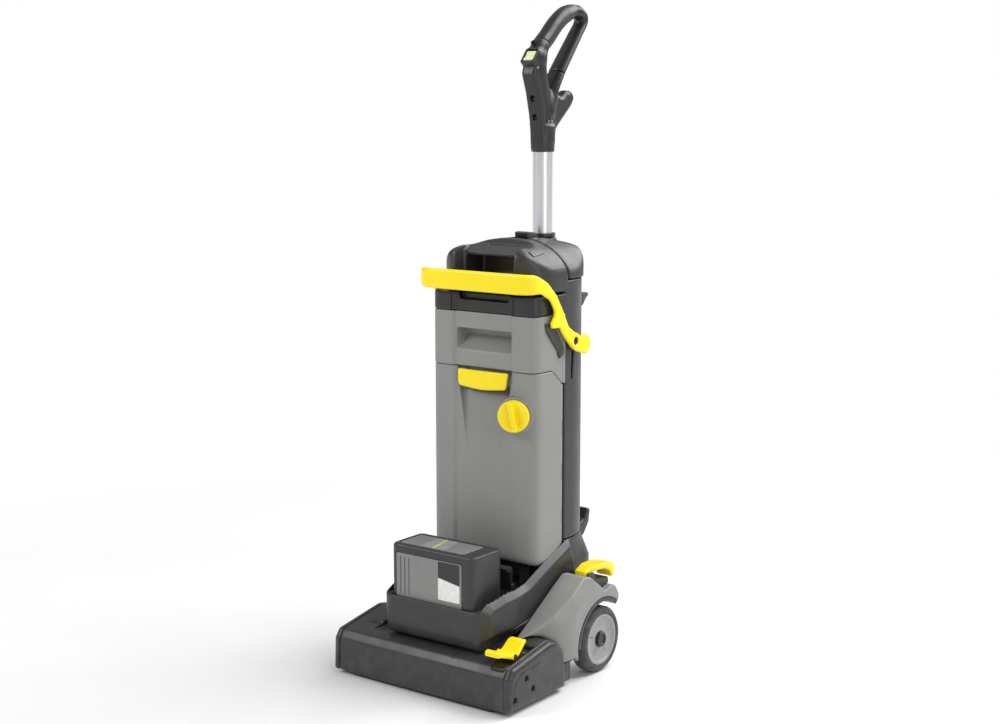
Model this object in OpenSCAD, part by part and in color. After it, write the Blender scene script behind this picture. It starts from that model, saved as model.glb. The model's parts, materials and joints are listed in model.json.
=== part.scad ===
// Walk-behind floor scrubber: a cylindrical-brush scrub head on two transport
// wheels, and a tilting upper body that carries a battery, two water tanks, a
// suction column and a telescoping handle.
// The origin is on the floor, under the middle of the front suction blade.
// -Y is the front of the machine, +X is its right side seen from the front, +Z is up.
// The parts are laid out from the wheel axle: y = 0 is the axle's, z = 0 is the floor's,
// and placed() moves each part from there to the origin.

/* [Scrub head] */
// Width over the two end plates
head_w = 335; // [325:1:345]
// Distance from the wheel axle to the front face of the head
head_front = 247; // [244:1:252]
// Height of the gap under the head
head_gap = 6; // [5:0.5:9]
// Thickness of each end plate
end_plate_t = 11.5; // [10:0.5:13]
// Wall thickness of the moulded shells
wall = 3; // [2:0.5:3.5]

/* [Brush] */
// Outer radius of the bristles
brush_r = 30; // [28:0.5:31]
// Radius of the brush core
brush_core_r = 14; // [12:0.5:16]
// Distance from the wheel axle forward to the brush axis
brush_y = 203; // [202:0.5:204]

/* [Wheels] */
// Tyre radius
wheel_r = 51; // [48:0.5:53]
// Tyre width
wheel_w = 28; // [24:1:28]
// Rim radius
rim_r = 39.5; // [36:0.5:42]
// Distance from the middle to the outer face of each wheel
wheel_out = 164; // [164:0.5:165]
// Radius of the axle
axle_r = 6; // [5:0.5:7]

/* [Tanks] */
// Width of both tanks
tank_w = 198; // [190:1:198]
// Height of the bottom of the fresh water tank
fresh_z = 170; // [166:1:176]
// Height of the joint between the fresh and the dirty tank
split_z = 467; // [460:1:470]
// Height of the joint between the dirty tank and the lid
lid_z = 552; // [548:1:556]
// Radius of the front corners of the tanks
tank_corner = 24; // [18:1:28]

/* [Column and handle] */
// Width of the suction column
column_w = 194; // [188:1:196]
// Height of the top of the domed cover
dome_top = 661; // [655:1:665]
// Outer radius of the handle tube
tube_r = 15.3; // [14:0.1:15.5]
// Wall of the handle tube
tube_wall = 1.8; // [1.2:0.1:2.5]
// Height of the bottom edge of the handle grip
grip_z = 787; // [780:1:800]

/* [Battery] */
// Width of the battery pack
battery_w = 156; // [150:1:156]
// Depth of the battery pack
battery_d = 72; // [68:1:76]
// Height of the top of the battery pack
battery_top = 211; // [200:1:215]

/* [Hidden] */
$fn = 64;

// Fits
gap = 0.5;          // between mouldings that move past each other
run_fit = 0.05;     // radial clearance of a running pin
seat = 0.2;         // between parts that stand still next to each other

// Colours
dark = [0.22, 0.22, 0.23];
black = [0.13, 0.13, 0.14];
grey = [0.55, 0.56, 0.57];
yellow = [0.96, 0.89, 0.10];
steel = [0.75, 0.76, 0.78];
rubber = [0.30, 0.30, 0.31];

// Head
end_x = head_w / 2 - end_plate_t;    // inner face of the end plates
web_x = 137;                         // outer face of the webs that carry the brush
web_t = 3;
low_half_w = 113;                    // half width of the lowered middle of the head
head_mid_z = 69;                     // top of the lowered middle
head_rear = 104;                     // distance from the axle to the rear of the head
brush_z = brush_r + 1.5;
duct_r = 12;                         // suction duct through the head
bar_pedal_y = -206;
bar_pedal_z = 78.2;
bar_pin_r = 1.5;
motor_y = 130;
motor_z = 41;
motor_r = 18;
brush_pulley_r = 16;
motor_pulley_r = 8;

// Running gear
axle_z = wheel_r;
wheel_in = wheel_out - wheel_w;
arch_r = 66;
fender_in = 113;                     // inner face of each fender
fender_out = 166;                    // outer face of each fender
leg_in = 99.6;                       // arms and pivot legs of the upper body
leg_out = 109;
bush_r = 9;
front_bar_y = -238;
rear_bar_y = -162;

// Upper body
tank_front = -87;
tank_back = -9;
column_front = -8;
column_back = 92;
column_low_z = 199;
cap_z = 600;
dome_back = 5;
dome_base_z = 580;
tube_y = 70;
tray_half_w = 88;
tray_front = -215;
tray_back = -93;
tray_low_z = 72;
tray_rim_z = 131;
tray_floor_z = 87;
shelf_z = 120;                       // shelf that carries the tanks and the column
hose_x = 45;                         // suction hose, right of the middle
hose_y = 36;
battery_x = -3;
battery_front = -208;
battery_latch_y = -113;
battery_latch_z = 147;
latch_deck_front = battery_latch_y - 7;  // deck under the latch lugs
bail_y = 4;                          // bail pivot
bail_z = 508;
bail_pin_r = 3.5;
rocker_y = 34;
rocker_z = 934;
knob_x = 63;
knob_z = 403;
hook_pin_r = 6;                      // spindle of the turning cord hook
hook_half_w = 54;                    // half the width of both cord hooks
hook_root_half_w = 36;               // half the width of the turning cord hook at its root
latch_y = 44;                        // hinge of the tube latch
latch_z = 659;
turbine_x = -50;
turbine_y = 34;
turbine_z = 400;
turbine_r = 36;
knob_turn = 20;                      // knob axis is turned this far towards +X

// ---------- Shared shapes ----------

module placed() {
    translate([0, -front_bar_y, 0]) children();
}

function arc(c, r, a0, a1, n = 8) =
    [for (i = [0:n]) c + r * [cos(a0 + (a1 - a0) * i / n), sin(a0 + (a1 - a0) * i / n)]];

// Half of a superellipse, open at the bottom, from -w to w
function arch(w, z0, h, p = 1.7, step = 7.5) =
    [for (t = [180:-step:0]) [sign(cos(t)) * w * pow(abs(cos(t)), 2 / p),
        z0 + h * pow(abs(sin(t)), 2 / p)]];

// A (y, z) outline made into a slab from x0 to x1
module side_prism(x0, x1) {
    translate([x0, 0, 0]) rotate([90, 0, 90]) linear_extrude(x1 - x0) children();
}

// An (x, z) outline made into a slab from y0 to y1
module front_prism(y0, y1) {
    translate([0, y1, 0]) rotate([90, 0, 0]) linear_extrude(y1 - y0) children();
}

module plan_prism(z0, z1) {
    translate([0, 0, z0]) linear_extrude(z1 - z0) children();
}

module both_sides() {
    children();
    mirror([1, 0, 0]) children();
}

module round_rect(w, d, r) {
    offset(r = r, $fn = 32) square([w - 2 * r, d - 2 * r], center = true);
}

// A cylinder along +X
module rod(x0, x1, y, z, r) {
    translate([x0, y, z]) rotate([0, 90, 0]) cylinder(h = x1 - x0, r = r);
}

// A cylinder along +X with a bore
module ring(x0, x1, y, z, r, bore) {
    difference() {
        rod(x0, x1, y, z, r);
        rod(x0 - 1, x1 + 1, y, z, bore);
    }
}

// A line of points drawn with a round pen of diameter w
module stroke(points, w) {
    n = len(points);
    back = [for (i = [n - 1:-1:0]) points[i] + [0.1, -0.1]];
    offset(r = w / 2, $fn = 32) polygon(concat(points, back));
}

// ---------- Scrub head ----------

module head_outline() {
    polygon(concat([[-head_front, head_gap], [-head_front + 3, 56], [-head_front + 11, 68]],
        [[-142, 85]], arc([-128, 62], 21, 85, 25, 4),
        [[-head_rear + 2, 48], [-head_rear, head_gap]]));
}

module head_housing() {
    color(dark) placed() difference() {
        side_prism(-end_x, end_x) head_outline();
        // brush and drive chamber, open underneath
        difference() {
            side_prism(-end_x - 1, end_x + 1) offset(delta = -wall) polygon([
                [-head_front, head_gap - 9], [-head_front + 3, 56], [-head_front + 11, 66],
                [-150, 66], [-142, 66], [-head_rear + 6, 60], [-head_rear + 2, 48],
                [-head_rear, head_gap - 9]]);
            // webs that carry the brush shaft
            both_sides() translate([web_x - web_t, -head_front, head_gap + 4])
                cube([web_t, head_front - head_rear, 90]);
            // partition between the rear suction bar and the motor
            translate([-web_x, -154, head_gap]) cube([2 * web_x, wall, 90]);
            // floor under the motor
            translate([-web_x, -152, head_gap]) cube([2 * web_x, 47, 2]);
        }
        bellows_place() cylinder(h = 52, r = duct_r + seat);
        // lowered middle under the battery tray
        translate([-low_half_w, -head_front + 26, head_mid_z])
            cube([2 * low_half_w, head_front, 40]);
        both_sides() rod(web_x - web_t - 1, web_x + 1, -brush_y, brush_z, 11);
        rod(-web_x - 1, -web_x + web_t + 1, -motor_y, motor_z, 6);
        // seat of the pedal insert
        translate([115, -238, 64]) cube([36, 78, 40]);
    }
}

module end_plate_outline() {
    offset(r = 2, $fn = 24) offset(delta = -2) head_outline();
}

// x0 is the face against the housing
module end_plate(screw_holes) {
    difference() {
        side_prism(end_x, head_w / 2) end_plate_outline();
        // bearing pocket
        rod(end_x - 1, end_x + 5, -brush_y, brush_z, 11);
        if (screw_holes) for (a = end_screw_angles) end_screw_at(a)
            rod(end_x - 1, head_w / 2 + 1, 0, 0, 1.6);
        if (screw_holes) for (a = end_screw_angles) end_screw_at(a)
            rod(head_w / 2 - 5, head_w / 2 + 1, 0, 0, 3.4);
    }
}

end_screw_angles = [75, 5, 190];
end_screw_circle = 22;
module end_screw_at(a) {
    translate([0, -209 + end_screw_circle * cos(a), 27 + end_screw_circle * sin(a)]) children();
}

module end_plate_left() {
    color(dark) placed() mirror([1, 0, 0]) end_plate(false);
}

module end_plate_right() {
    color(dark) placed() end_plate(true);
}

module end_plate_screws() {
    color(steel) placed() for (a = end_screw_angles) end_screw_at(a) {
        rod(end_x + 0.5, head_w / 2 - 5, 0, 0, 1.5);
        rod(head_w / 2 - 5, head_w / 2 - 2.5, 0, 0, 3);
    }
}

// Black plate around the bar pedal, with the pedal's pin and three level marks
module pedal_insert() {
    color(black) placed() {
        side_prism(115 + seat, 151 - seat) polygon([[-238 + seat, 64 + seat], [-238 + seat, 68],
            [-204, 70], [-160 - seat, 76], [-160 - seat, 64 + seat]]);
        for (x = [115 + seat, 149.4]) side_prism(x, x + 1.4) polygon([[bar_pedal_y - 5, 68],
            [bar_pedal_y - 3, 81], [bar_pedal_y + 3, 81], [bar_pedal_y + 5, 68]]);
        rod(116, 150, bar_pedal_y, bar_pedal_z, bar_pin_r);
        for (i = [0:2]) translate([139 + 4 * i, -178, 72.4]) cube([1.2, 9, 1.4]);
    }
}

module brush_core() {
    color(black) placed() {
        ring(-131, 131, -brush_y, brush_z, brush_core_r, 10);
        for (x = [-131, 127]) ring(x, x + 4, -brush_y, brush_z, 10, 5);
        rod(-151, -127 - seat, -brush_y, brush_z, 5);
        rod(127 + seat, end_x + 4, -brush_y, brush_z, 5);
    }
}

module brush_bristles() {
    color([0.8, 0.8, 0.78]) placed() ring(-129, 129, -brush_y, brush_z, brush_r, brush_core_r);
}

module brush_bearings() {
    color(steel) placed() {
        for (x = [-web_x, web_x - web_t]) ring(x, x + web_t, -brush_y, brush_z, 11, 5 + run_fit);
        ring(end_x, end_x + 4.5, -brush_y, brush_z, 11, 5 + run_fit);
    }
}

module toothed_pulley(x0, x1, y, z, r, bore, teeth) {
    difference() {
        rod(x0, x1, y, z, r);
        rod(x0 - 1, x1 + 1, y, z, bore);
        for (i = [0:teeth - 1]) translate([0, y, z]) rotate([360 * i / teeth, 0, 0])
            rod(x0 - 1, x1 + 1, r + 0.5, 0, 1.2);
    }
}

module brush_pulley() {
    color(black) placed() toothed_pulley(-151, -141, -brush_y, brush_z, brush_pulley_r, 5, 24);
}

module motor_pulley() {
    color(steel) placed() {
        toothed_pulley(-151, -141, -motor_y, motor_z, motor_pulley_r, 4, 12);
        rod(-151, -120, -motor_y, motor_z, 4);
    }
}

module brush_motor() {
    color(steel) placed() {
        difference() {
            rod(-133, -20, -motor_y, motor_z, motor_r);
            rod(-134, -119, -motor_y, motor_z, 4 + run_fit);
        }
        rod(-20, -8, -motor_y, motor_z, 12);
        for (x = [-110, -45]) translate([x, -motor_y - 12, head_gap + 2]) cube([16, 24, 20]);
    }
}

// Closed toothed belt over both pulleys, clear of their tips
module drive_belt() {
    clear = 0.4;
    thick = 1.6;
    module loop(extra) {
        hull() {
            translate([-brush_y, brush_z]) circle(brush_pulley_r + extra, $fn = 48);
            translate([-motor_y, motor_z]) circle(motor_pulley_r + extra, $fn = 48);
        }
    }
    color(rubber) placed() side_prism(-150, -142) difference() {
        loop(clear + thick);
        loop(clear);
    }
}

// Holder with a slot for its blade and two guide posts
module suction_bar(y) {
    bar_half_w = 130;
    half_d = 3.5;
    difference() {
        translate([-bar_half_w, y - half_d, 10]) cube([2 * bar_half_w, 2 * half_d, 13]);
        translate([-bar_half_w - 1, y - 1.5, 9]) cube([2 * bar_half_w + 2, 3, 10]);
    }
    for (x = [-90, 90]) translate([x, y, 23]) cylinder(h = 10, r = 3);
}

module suction_blade(y) {
    translate([-129, y - 1.4, 0]) cube([258, 2.8, 18.8]);
}

module front_bar() {
    color(black) placed() suction_bar(front_bar_y);
}

module front_blade() {
    color(rubber) placed() suction_blade(front_bar_y);
}

module rear_bar() {
    color(black) placed() suction_bar(rear_bar_y);
}

module rear_blade() {
    color(rubber) placed() suction_blade(rear_bar_y);
}

// Two-winged rocker that raises and lowers the suction bars
module bar_pedal() {
    color(yellow) placed() difference() {
        side_prism(117, 149) polygon([[-240, 85], [-209, 74.6], [-202, 74.6], [-171, 89],
            [-173, 93.5], [-180, 93.5], [-203, 83], [-238, 93]]);
        rod(116, 150, bar_pedal_y, bar_pedal_z, bar_pin_r + run_fit);
    }
}

module bellows_place() {
    translate([hose_x, -150.8, 34]) rotate([-78, 0, 0]) children();
}

// Suction duct from the brush chamber, ending in a convoluted hose behind the head
module suction_bellows() {
    smooth = 56;
    ribs = 8;
    pitch = 8;
    color(black) placed() bellows_place() {
        difference() {
            cylinder(h = smooth + ribs * pitch + 4, r = duct_r);
            translate([0, 0, -1]) cylinder(h = smooth + ribs * pitch + 6, r = duct_r - 3);
        }
        for (i = [0:ribs - 1]) translate([0, 0, smooth + pitch * i]) difference() {
            cylinder(h = 4, r = duct_r + 2.5);
            translate([0, 0, -1]) cylinder(h = 6, r = duct_r - 0.1);
        }
    }
}

// ---------- Running gear ----------

module fender_outline() {
    polygon(concat([[-158, 83.4], [-126, 101], [-104, 115], [-60, 142], [-34, 155], [-22, 153],
        [8, 126], [34, 133], [46, 114], [43, 101]], arc([0, axle_z], arch_r, 50, 180, 20),
        [[-72, 42], [-97, 39], [-99.6, 48], [-107.5, 72], [-126, 84.5], [-141.5, 87]]));
}

// Plan of a fender: its front sweeps in towards the upper body
module fender_plan() {
    polygon([[fender_in, -158], [fender_in + 8, -158], [fender_in + 30, -122],
        [fender_out, -96], [fender_out, 60], [fender_in, 60]]);
}

// Hollow moulding, open towards the machine
module fender() {
    difference() {
        intersection() {
            side_prism(fender_in, fender_out) fender_outline();
            plan_prism(0, 200) fender_plan();
        }
        side_prism(fender_in - 1, fender_out + 1) offset(delta = gap) head_outline();
        intersection() {
            side_prism(fender_in - 9, fender_out - wall) offset(delta = -wall) fender_outline();
            plan_prism(0, 200) translate([-8, 0]) offset(delta = -wall) fender_plan();
            plan_prism(0, 200) offset(delta = -wall) hull() {
                fender_plan();
                translate([-20, 0]) fender_plan();
            }
        }
    }
}

module fender_right() {
    color(grey) placed() fender();
}

module fender_left() {
    color(grey) placed() mirror([1, 0, 0]) fender();
}

module arch_liners() {
    color(dark) placed() both_sides() side_prism(fender_in + 4, fender_out - 1)
        polygon(concat(arc([0, axle_z], arch_r - 0.3, 52, 179, 20),
            arc([0, axle_z], arch_r - 6, 179, 52, 20)));
}

// Side rails, axle bosses and the cross member behind the head
module chassis_frame() {
    color(dark) placed() {
        difference() {
            both_sides() side_prism(fender_in + 2, wheel_in - 3) polygon(concat(
                [[-head_rear + 0.5, 9], [-74, 8]], arc([0, axle_z], 15, 300, 470, 8),
                [[-60, 37], [-head_rear + 2, 37]]));
            rod(-200, 200, 0, axle_z, axle_r);
        }
        both_sides() translate([wheel_in - 3, -head_rear + 2.2, 9]) cube([24, 25, 28]);
        difference() {
            translate([-fender_in - 2, -head_rear + 2.2, 12])
                cube([2 * fender_in + 4, 13, 16]);
            bellows_place() cylinder(h = 90, r = duct_r + 4);
        }
    }
}

module axle() {
    color(steel) placed() rod(-158, 158, 0, axle_z, axle_r);
}

module tyre_right() {
    corner = 6;
    color(rubber) placed() translate([wheel_in, 0, axle_z]) rotate([0, 90, 0]) rotate_extrude($fn = 96)
        polygon(concat([[rim_r, 0]], arc([wheel_r - corner, corner], corner, 270, 360, 4),
            arc([wheel_r - corner, wheel_w - corner], corner, 0, 90, 4), [[rim_r, wheel_w]]));
}

module tyre_left() {
    mirror([1, 0, 0]) tyre_right();
}

// Dished rim with five radial slits
module rim_right() {
    hub_r = 12.5;
    color([0.62, 0.63, 0.64]) placed() difference() {
        translate([wheel_in, 0, axle_z]) rotate([0, 90, 0]) rotate_extrude($fn = 96)
            polygon([[axle_r + run_fit, 2], [hub_r, 2], [hub_r, 14], [rim_r - 5, 16],
                [rim_r - 5, 1], [rim_r, 1], [rim_r, wheel_w - 1], [rim_r - 3, wheel_w - 2],
                [rim_r - 6, 21], [hub_r + 2, 20], [hub_r, 22.5], [axle_r + run_fit, 22.5]]);
        for (a = [90:72:400]) translate([0, 0, axle_z]) rotate([a, 0, 0])
            translate([wheel_in - 1, 17, -0.6]) cube([wheel_w + 2, 13, 1.2]);
    }
}

module rim_left() {
    mirror([1, 0, 0]) rim_right();
}

module hub_cap_right() {
    cap_r = 11.3;
    color(black) placed() difference() {
        rod(wheel_in + 22.5, wheel_out + 1, 0, axle_z, cap_r);
        rod(wheel_out - 1, wheel_out + 2, 0, axle_z, 8);
        rod(wheel_in + 20, wheel_in + 24, 0, axle_z, axle_r + 1);
    }
}

module hub_cap_left() {
    mirror([1, 0, 0]) hub_cap_right();
}

// Foot pedal over the right wheel that frees the upper body for tilting
tilt_pedal_y = -14;
tilt_pedal_z = 152;
module tilt_pedal() {
    color(yellow) placed() difference() {
        side_prism(120, 150) polygon([[-21, 157], [-20, 163], [-4, 168], [28, 166], [60, 159],
            [70, 151], [70, 135], [64, 132], [58, 147], [30, 155], [12, 157], [-6, 158], [-8, 148],
            [-13, 147.3], [-18, 152]]);
        rod(118, 152, tilt_pedal_y, tilt_pedal_z, 3 + run_fit);
    }
}

// Two cheeks and a pin for the tilt pedal, and the latch block under it
module pedal_bracket() {
    color(black) placed() {
        rod(116, 154, tilt_pedal_y, tilt_pedal_z, 3);
        difference() {
            union() {
                for (x = [116, 150.6]) side_prism(x, x + 3) polygon([[-24, 146], [-18, 158],
                    [-10, 158], [-2, 145], [30, 141], [34, 126], [6, 112]]);
                translate([118, 9, 112]) cube([33.6, 24, 29]);
            }
            side_prism(110, 160) offset(delta = 0.4) fender_outline();
            rod(110, 160, 0, axle_z, arch_r);
            rod(110, 160, tilt_pedal_y, tilt_pedal_z, 3);
        }
    }
}

// ---------- Upper body ----------

module arm_outline() {
    polygon(concat([[tray_front + 2, 78], [tray_front + 2, 131], [-196, 144], [-156, 158],
        [-104, 160], [-57, 179], [-8, 201], [4, 204], [30, shelf_z + 4], [30, shelf_z - 2]],
        arc([0, axle_z], 16, 20, -200, 12), [[-24, 104], [-83, 104], [-109, 90], [-196, 82]]));
}

// Battery tray, side arms and pivot legs in one moulding
module lower_frame() {
    color(dark) placed() difference() {
        union() {
            difference() {
                union() {
                    plan_prism(tray_low_z, tray_rim_z)
                        translate([0, (tray_front + tray_back) / 2])
                        round_rect(2 * tray_half_w, tray_back - tray_front, 10);
                    both_sides() side_prism(tray_half_w - 12, leg_in) polygon([
                        [tray_front + 10, 80], [tray_front + 10, tray_rim_z],
                        [tray_back, tray_rim_z], [tray_back, 94], [-196, 82]]);
                }
                plan_prism(tray_floor_z, tray_rim_z + 1)
                    translate([battery_x, battery_front + battery_d / 2])
                    round_rect(battery_w + 2 * gap + 1, battery_d + 2 * gap + 1, 8);
                // pocket behind the battery
                plan_prism(tray_floor_z, tray_rim_z + 1)
                    translate([0, (battery_front + battery_d + tray_back) / 2 + 1])
                    round_rect(150, tray_back - battery_front - battery_d - 14, 4);
                translate([-70, -200, tray_low_z - 1]) cube([140, 90, 8]);
            }
            both_sides() side_prism(leg_in, leg_out) arm_outline();
            // cross wall behind the battery, shelf, and rests for the fresh tank
            translate([-leg_in, tray_back - 1, 100]) cube([2 * leg_in, 4, 40]);
            translate([-leg_in, tray_back, shelf_z]) cube([2 * leg_in, 30 - tray_back, 4]);
            for (x = [-70, 50]) translate([x, -61, shelf_z + 3])
                cube([20, 20, fresh_z - shelf_z - 3 - seat]);
            // lugs and pin of the battery latch
            for (x = [46, 75]) side_prism(x, x + 3) translate([battery_latch_y, 0])
                polygon([[-5, 130], [-5, 152], [5, 152], [5, 130]]);
            rod(46, 78, battery_latch_y, battery_latch_z, 1.5);
            // deck between the tray and the latch lugs
            translate([40, latch_deck_front, 124]) cube([44, tray_back + 3 - latch_deck_front, 7]);
        }
        both_sides() rod(leg_in - 1, leg_out + 1, 0, axle_z, bush_r);
        translate([hose_x, hose_y, shelf_z - 1]) cylinder(h = 6, r = 20);
    }
}

module pivot_bushes() {
    color(steel) placed() both_sides() ring(leg_in, leg_out, 0, axle_z, bush_r, axle_r + run_fit);
}

module column_plan(inset = 0) {
    r = 80;
    w = column_w / 2;
    polygon(concat([[-w + inset, column_front + inset]],
        [[w - inset, column_front + inset]],
        arc([w - r, column_back - r], r - inset, 0, 90, 10),
        arc([-w + r, column_back - r], r - inset, 90, 180, 10)));
}

// Foot of the column, with the lower cord hook on its back
module column_base() {
    base_low = shelf_z + 4 + seat;
    color(dark) placed() {
        difference() {
            intersection() {
                plan_prism(base_low, column_low_z - seat) column_plan();
                side_prism(-100, 100) polygon([[column_front, base_low], [column_front, 200],
                    [93, 200], [90, 176], [93, 150], [80, base_low]]);
            }
            plan_prism(base_low + 4, column_low_z + 1) column_plan(wall + 1);
            translate([hose_x, hose_y, base_low - 1]) cylinder(h = 6, r = 20);
        }
        hook(0, 204, 2 * hook_half_w);
    }
}

// Upturned cord hook on the back of the column
module hook(x, z, w) {
    side_prism(x - w / 2, x + w / 2) polygon([[column_back - 5, z - 34], [128, z - 14],
        [131, z + 8], [124, z + 12], [118, z - 4], [column_back - 5, z - 20]]);
}

module column_shell() {
    color(dark) placed() difference() {
        plan_prism(column_low_z, cap_z - seat) column_plan();
        plan_prism(column_low_z - 1, cap_z + 1) column_plan(wall);
        // ports to the dirty tank: suction below, air above
        translate([hose_x, column_front - 1, 500]) rotate([-90, 0, 0]) cylinder(h = 6, r = 15.5);
        translate([turbine_x, column_front - 1, 560]) rotate([-90, 0, 0])
            cylinder(h = 6, r = 13);
        // long slots in both sides
        both_sides() translate([column_w / 2 - wall - 1, 8, 450]) cube([wall + 2, 5, 42]);
        rod(-120, 120, bail_y, bail_z, bail_pin_r);
        // seat of the cable hook spindle
        translate([0, column_back - wall - 1, 561]) rotate([-90, 0, 0]) cylinder(h = 6, r = hook_pin_r);
    }
}

module cap_side(inset = 0) {
    polygon([[dome_back + gap + inset, cap_z - 2 * inset], [dome_back + gap + inset, 660 - inset],
        [44, 660 - inset], [86 - inset, 646 - inset], [95 - inset, 627], [column_back - inset,
        cap_z - 2 * inset]]);
}

module column_cap() {
    color(dark) placed() difference() {
        intersection() {
            side_prism(-100, 100) cap_side();
            front_prism(-20, 120) polygon(arch(column_w / 2, cap_z, 61));
            plan_prism(cap_z, 670) scale([1, 1.03]) column_plan();
        }
        intersection() {
            side_prism(-100, 100) cap_side(wall);
            front_prism(-20, 120) polygon(arch(column_w / 2 - wall, cap_z - 1, 59));
            plan_prism(cap_z - 1, 670) column_plan(wall);
        }
        translate([0, tube_y, cap_z]) cylinder(h = 80, r = 20.5);
        // seat of the tube latch
        translate([-13, 8, 654]) cube([26, 41, 12]);
    }
    color(dark) placed() rod(-14, 14, latch_y, latch_z, 1.5);
}

// Long bush for the handle tube, with a collar above the column
module tube_guide() {
    color(black) placed() difference() {
        union() {
            translate([0, tube_y, 300]) cylinder(h = 362, r = 18.5);
            translate([0, tube_y, 656]) cylinder(h = 6, r = 20.2);
        }
        translate([0, tube_y, 299]) cylinder(h = 370, r = tube_r + 0.1);
        translate([-4, 48, 645]) cube([8, 8, 10]);
    }
}

// Flip lever that clamps the tube
module tube_latch() {
    color(black) placed() difference() {
        side_prism(-12, 12) polygon([[12, 657], [12, 664], [18, 667], [40, 666.5],
            [latch_y + 3, 662.5], [latch_y + 3, 656], [34, 656]]);
        rod(-13, 13, latch_y, latch_z, 1.5 + run_fit);
    }
}

// Hose up the column, with an elbow to the dirty tank's port
module suction_hose() {
    bend = 32;
    hose_r = 15;
    port_z = 500;
    module pipe(length) {
        difference() {
            cylinder(h = length, r = hose_r);
            translate([0, 0, -1]) cylinder(h = length + 2, r = hose_r - 2.5);
        }
    }
    color([0.2, 0.2, 0.2]) placed() {
        translate([hose_x, hose_y, 136]) pipe(port_z - bend - 136);
        translate([hose_x, hose_y - bend, port_z - bend]) rotate([90, 0, 90])
            rotate_extrude(angle = 90) translate([bend, 0]) difference() {
                circle(hose_r);
                circle(hose_r - 2.5);
            }
        translate([hose_x, column_front + 0.2, port_z]) rotate([-90, 0, 0])
            pipe(hose_y - bend - column_front - 0.2);
    }
}

// Fan housing, motor and air pipe of the suction turbine
module turbine_housing() {
    motor_top = 84;
    pipe_z = 160;
    color(steel) placed() translate([turbine_x, turbine_y, turbine_z]) difference() {
        union() {
            cylinder(h = 34, r = turbine_r);
            translate([0, 0, 34]) cylinder(h = motor_top - 34, r = 24);
            translate([0, 0, motor_top]) cylinder(h = pipe_z - motor_top, r = 12.5);
            translate([0, 0, pipe_z]) sphere(r = 12.5);
            translate([0, 0, pipe_z]) rotate([90, 0, 0])
                cylinder(h = turbine_y - column_front - 6, r = 12);
        }
        translate([0, 0, wall]) cylinder(h = 28, r = turbine_r - wall);
        translate([0, 0, -1]) cylinder(h = 10, r = 14);
        translate([0, 0, 27]) cylinder(h = 30, r = 3 + run_fit);
    }
}

module impeller() {
    color(steel) placed() translate([turbine_x, turbine_y, turbine_z + 8]) {
        cylinder(h = 2, r = 30);
        translate([0, 0, 2]) cylinder(h = 34, r = 3);
        for (a = [0:45:359]) rotate([0, 0, a]) translate([2, -1, 1])
            cube([27, 2, 14]);
    }
}

module control_board() {
    color([0.1, 0.35, 0.2]) placed() {
        translate([-88, -2, 255]) cube([70, 2, 120]);
        for (i = [0:3]) translate([-82 + 16 * i, 0, 275]) cube([10, 9, 14]);
        for (z = [305, 340]) translate([-78, 0, z]) cube([40, 6, 20]);
    }
}

// Pins on the column sides that the bail turns on
module bail_pins() {
    color(steel) placed() both_sides() {
        rod(column_w / 2 - wall, 112, bail_y, bail_z, bail_pin_r);
        rod(110.5, 112, bail_y, bail_z, 5.5);
        rod(column_w / 2, 102.8, bail_y, bail_z, 6);
    }
}

module cable_hook() {
    color(dark) placed() {
        difference() {
            side_prism(-hook_half_w, hook_half_w) polygon([[column_back + 0.6, 552],
                [column_back + 0.6, 570], [100, 568], [122, 566], [126, 570], [127, 562], [120, 555],
                [104, 545]]);
            // narrower root, so that the turned hook clears the cap
            both_sides() translate([hook_root_half_w, column_back, 540]) cube([hook_half_w, 6, 40]);
        }
        translate([0, column_back - wall, 561]) rotate([-90, 0, 0])
            cylinder(h = wall + 1, r = hook_pin_r - run_fit);
    }
}

bail_in = 103.5;
bail_t = 6;
// Carrying bail: a flat band bent round the front, with a locking tail
module bail() {
    out = bail_in + bail_t;
    front = -111;
    r = 26;
    color(yellow) placed() difference() {
        intersection() {
            plan_prism(470, 630) difference() {
                polygon(concat(arc([-out + r, front + r], r, 180, 270), arc([out - r, front + r],
                    r, 270, 360), [[out, 60], [-out, 60]]));
                polygon(concat(arc([-bail_in + r - bail_t, front + r], r - bail_t, 180, 270),
                    arc([bail_in - r + bail_t, front + r], r - bail_t, 270, 360),
                    [[bail_in, 61], [-bail_in, 61]]));
            }
            side_prism(-120, 120) polygon([[-115, 587], [-115, 616], [-92, 614], [-68, 602],
                [-46, 582], [-31, 560], [-17, 536], [4, 516], [12, 514], [28, 518], [44, 510],
                [46, 495], [33, 484], [24, 481], [12, 484], [-8, 502], [-34, 522],
                [-36, 531], [-56, 532], [-58, 540], [-47, 556], [-62, 576], [-84, 587]]);
        }
        rod(-130, 130, bail_y, bail_z, bail_pin_r + run_fit);
    }
}

// ---------- Tanks ----------

module tank_plan(inset = 0) {
    w = tank_w / 2;
    r = tank_corner;
    polygon(concat(arc([-w + r, tank_front + r], r - inset, 180, 270),
        arc([w - r, tank_front + r], r - inset, 270, 360),
        [[w - inset, tank_back - inset], [-w + inset, tank_back - inset]]));
}

// Shallow tapered recess down the front of the fresh tank
module front_recess(grow = 0) {
    depth = 7;
    front_prism(tank_front - 5, tank_front + depth + grow) offset(delta = grow) polygon([
        [-53, split_z + 10], [53, split_z + 10], [48, 441], [29, 325], [-29, 325], [-48, 441]]);
}

module fresh_side(inset = 0) {
    polygon(concat([[tank_front + inset, split_z + inset * 5 - seat]],
        arc([tank_front + 26, fresh_z + 26], 26 - inset, 180, 270, 6),
        [[-40, fresh_z + inset], [tank_back - inset, fresh_z + 24 + inset],
        [tank_back - inset, 444 + inset * 5], [tank_back - 8, 444 + inset * 5],
        [-44, split_z + inset * 5 - seat]]));
}

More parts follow.
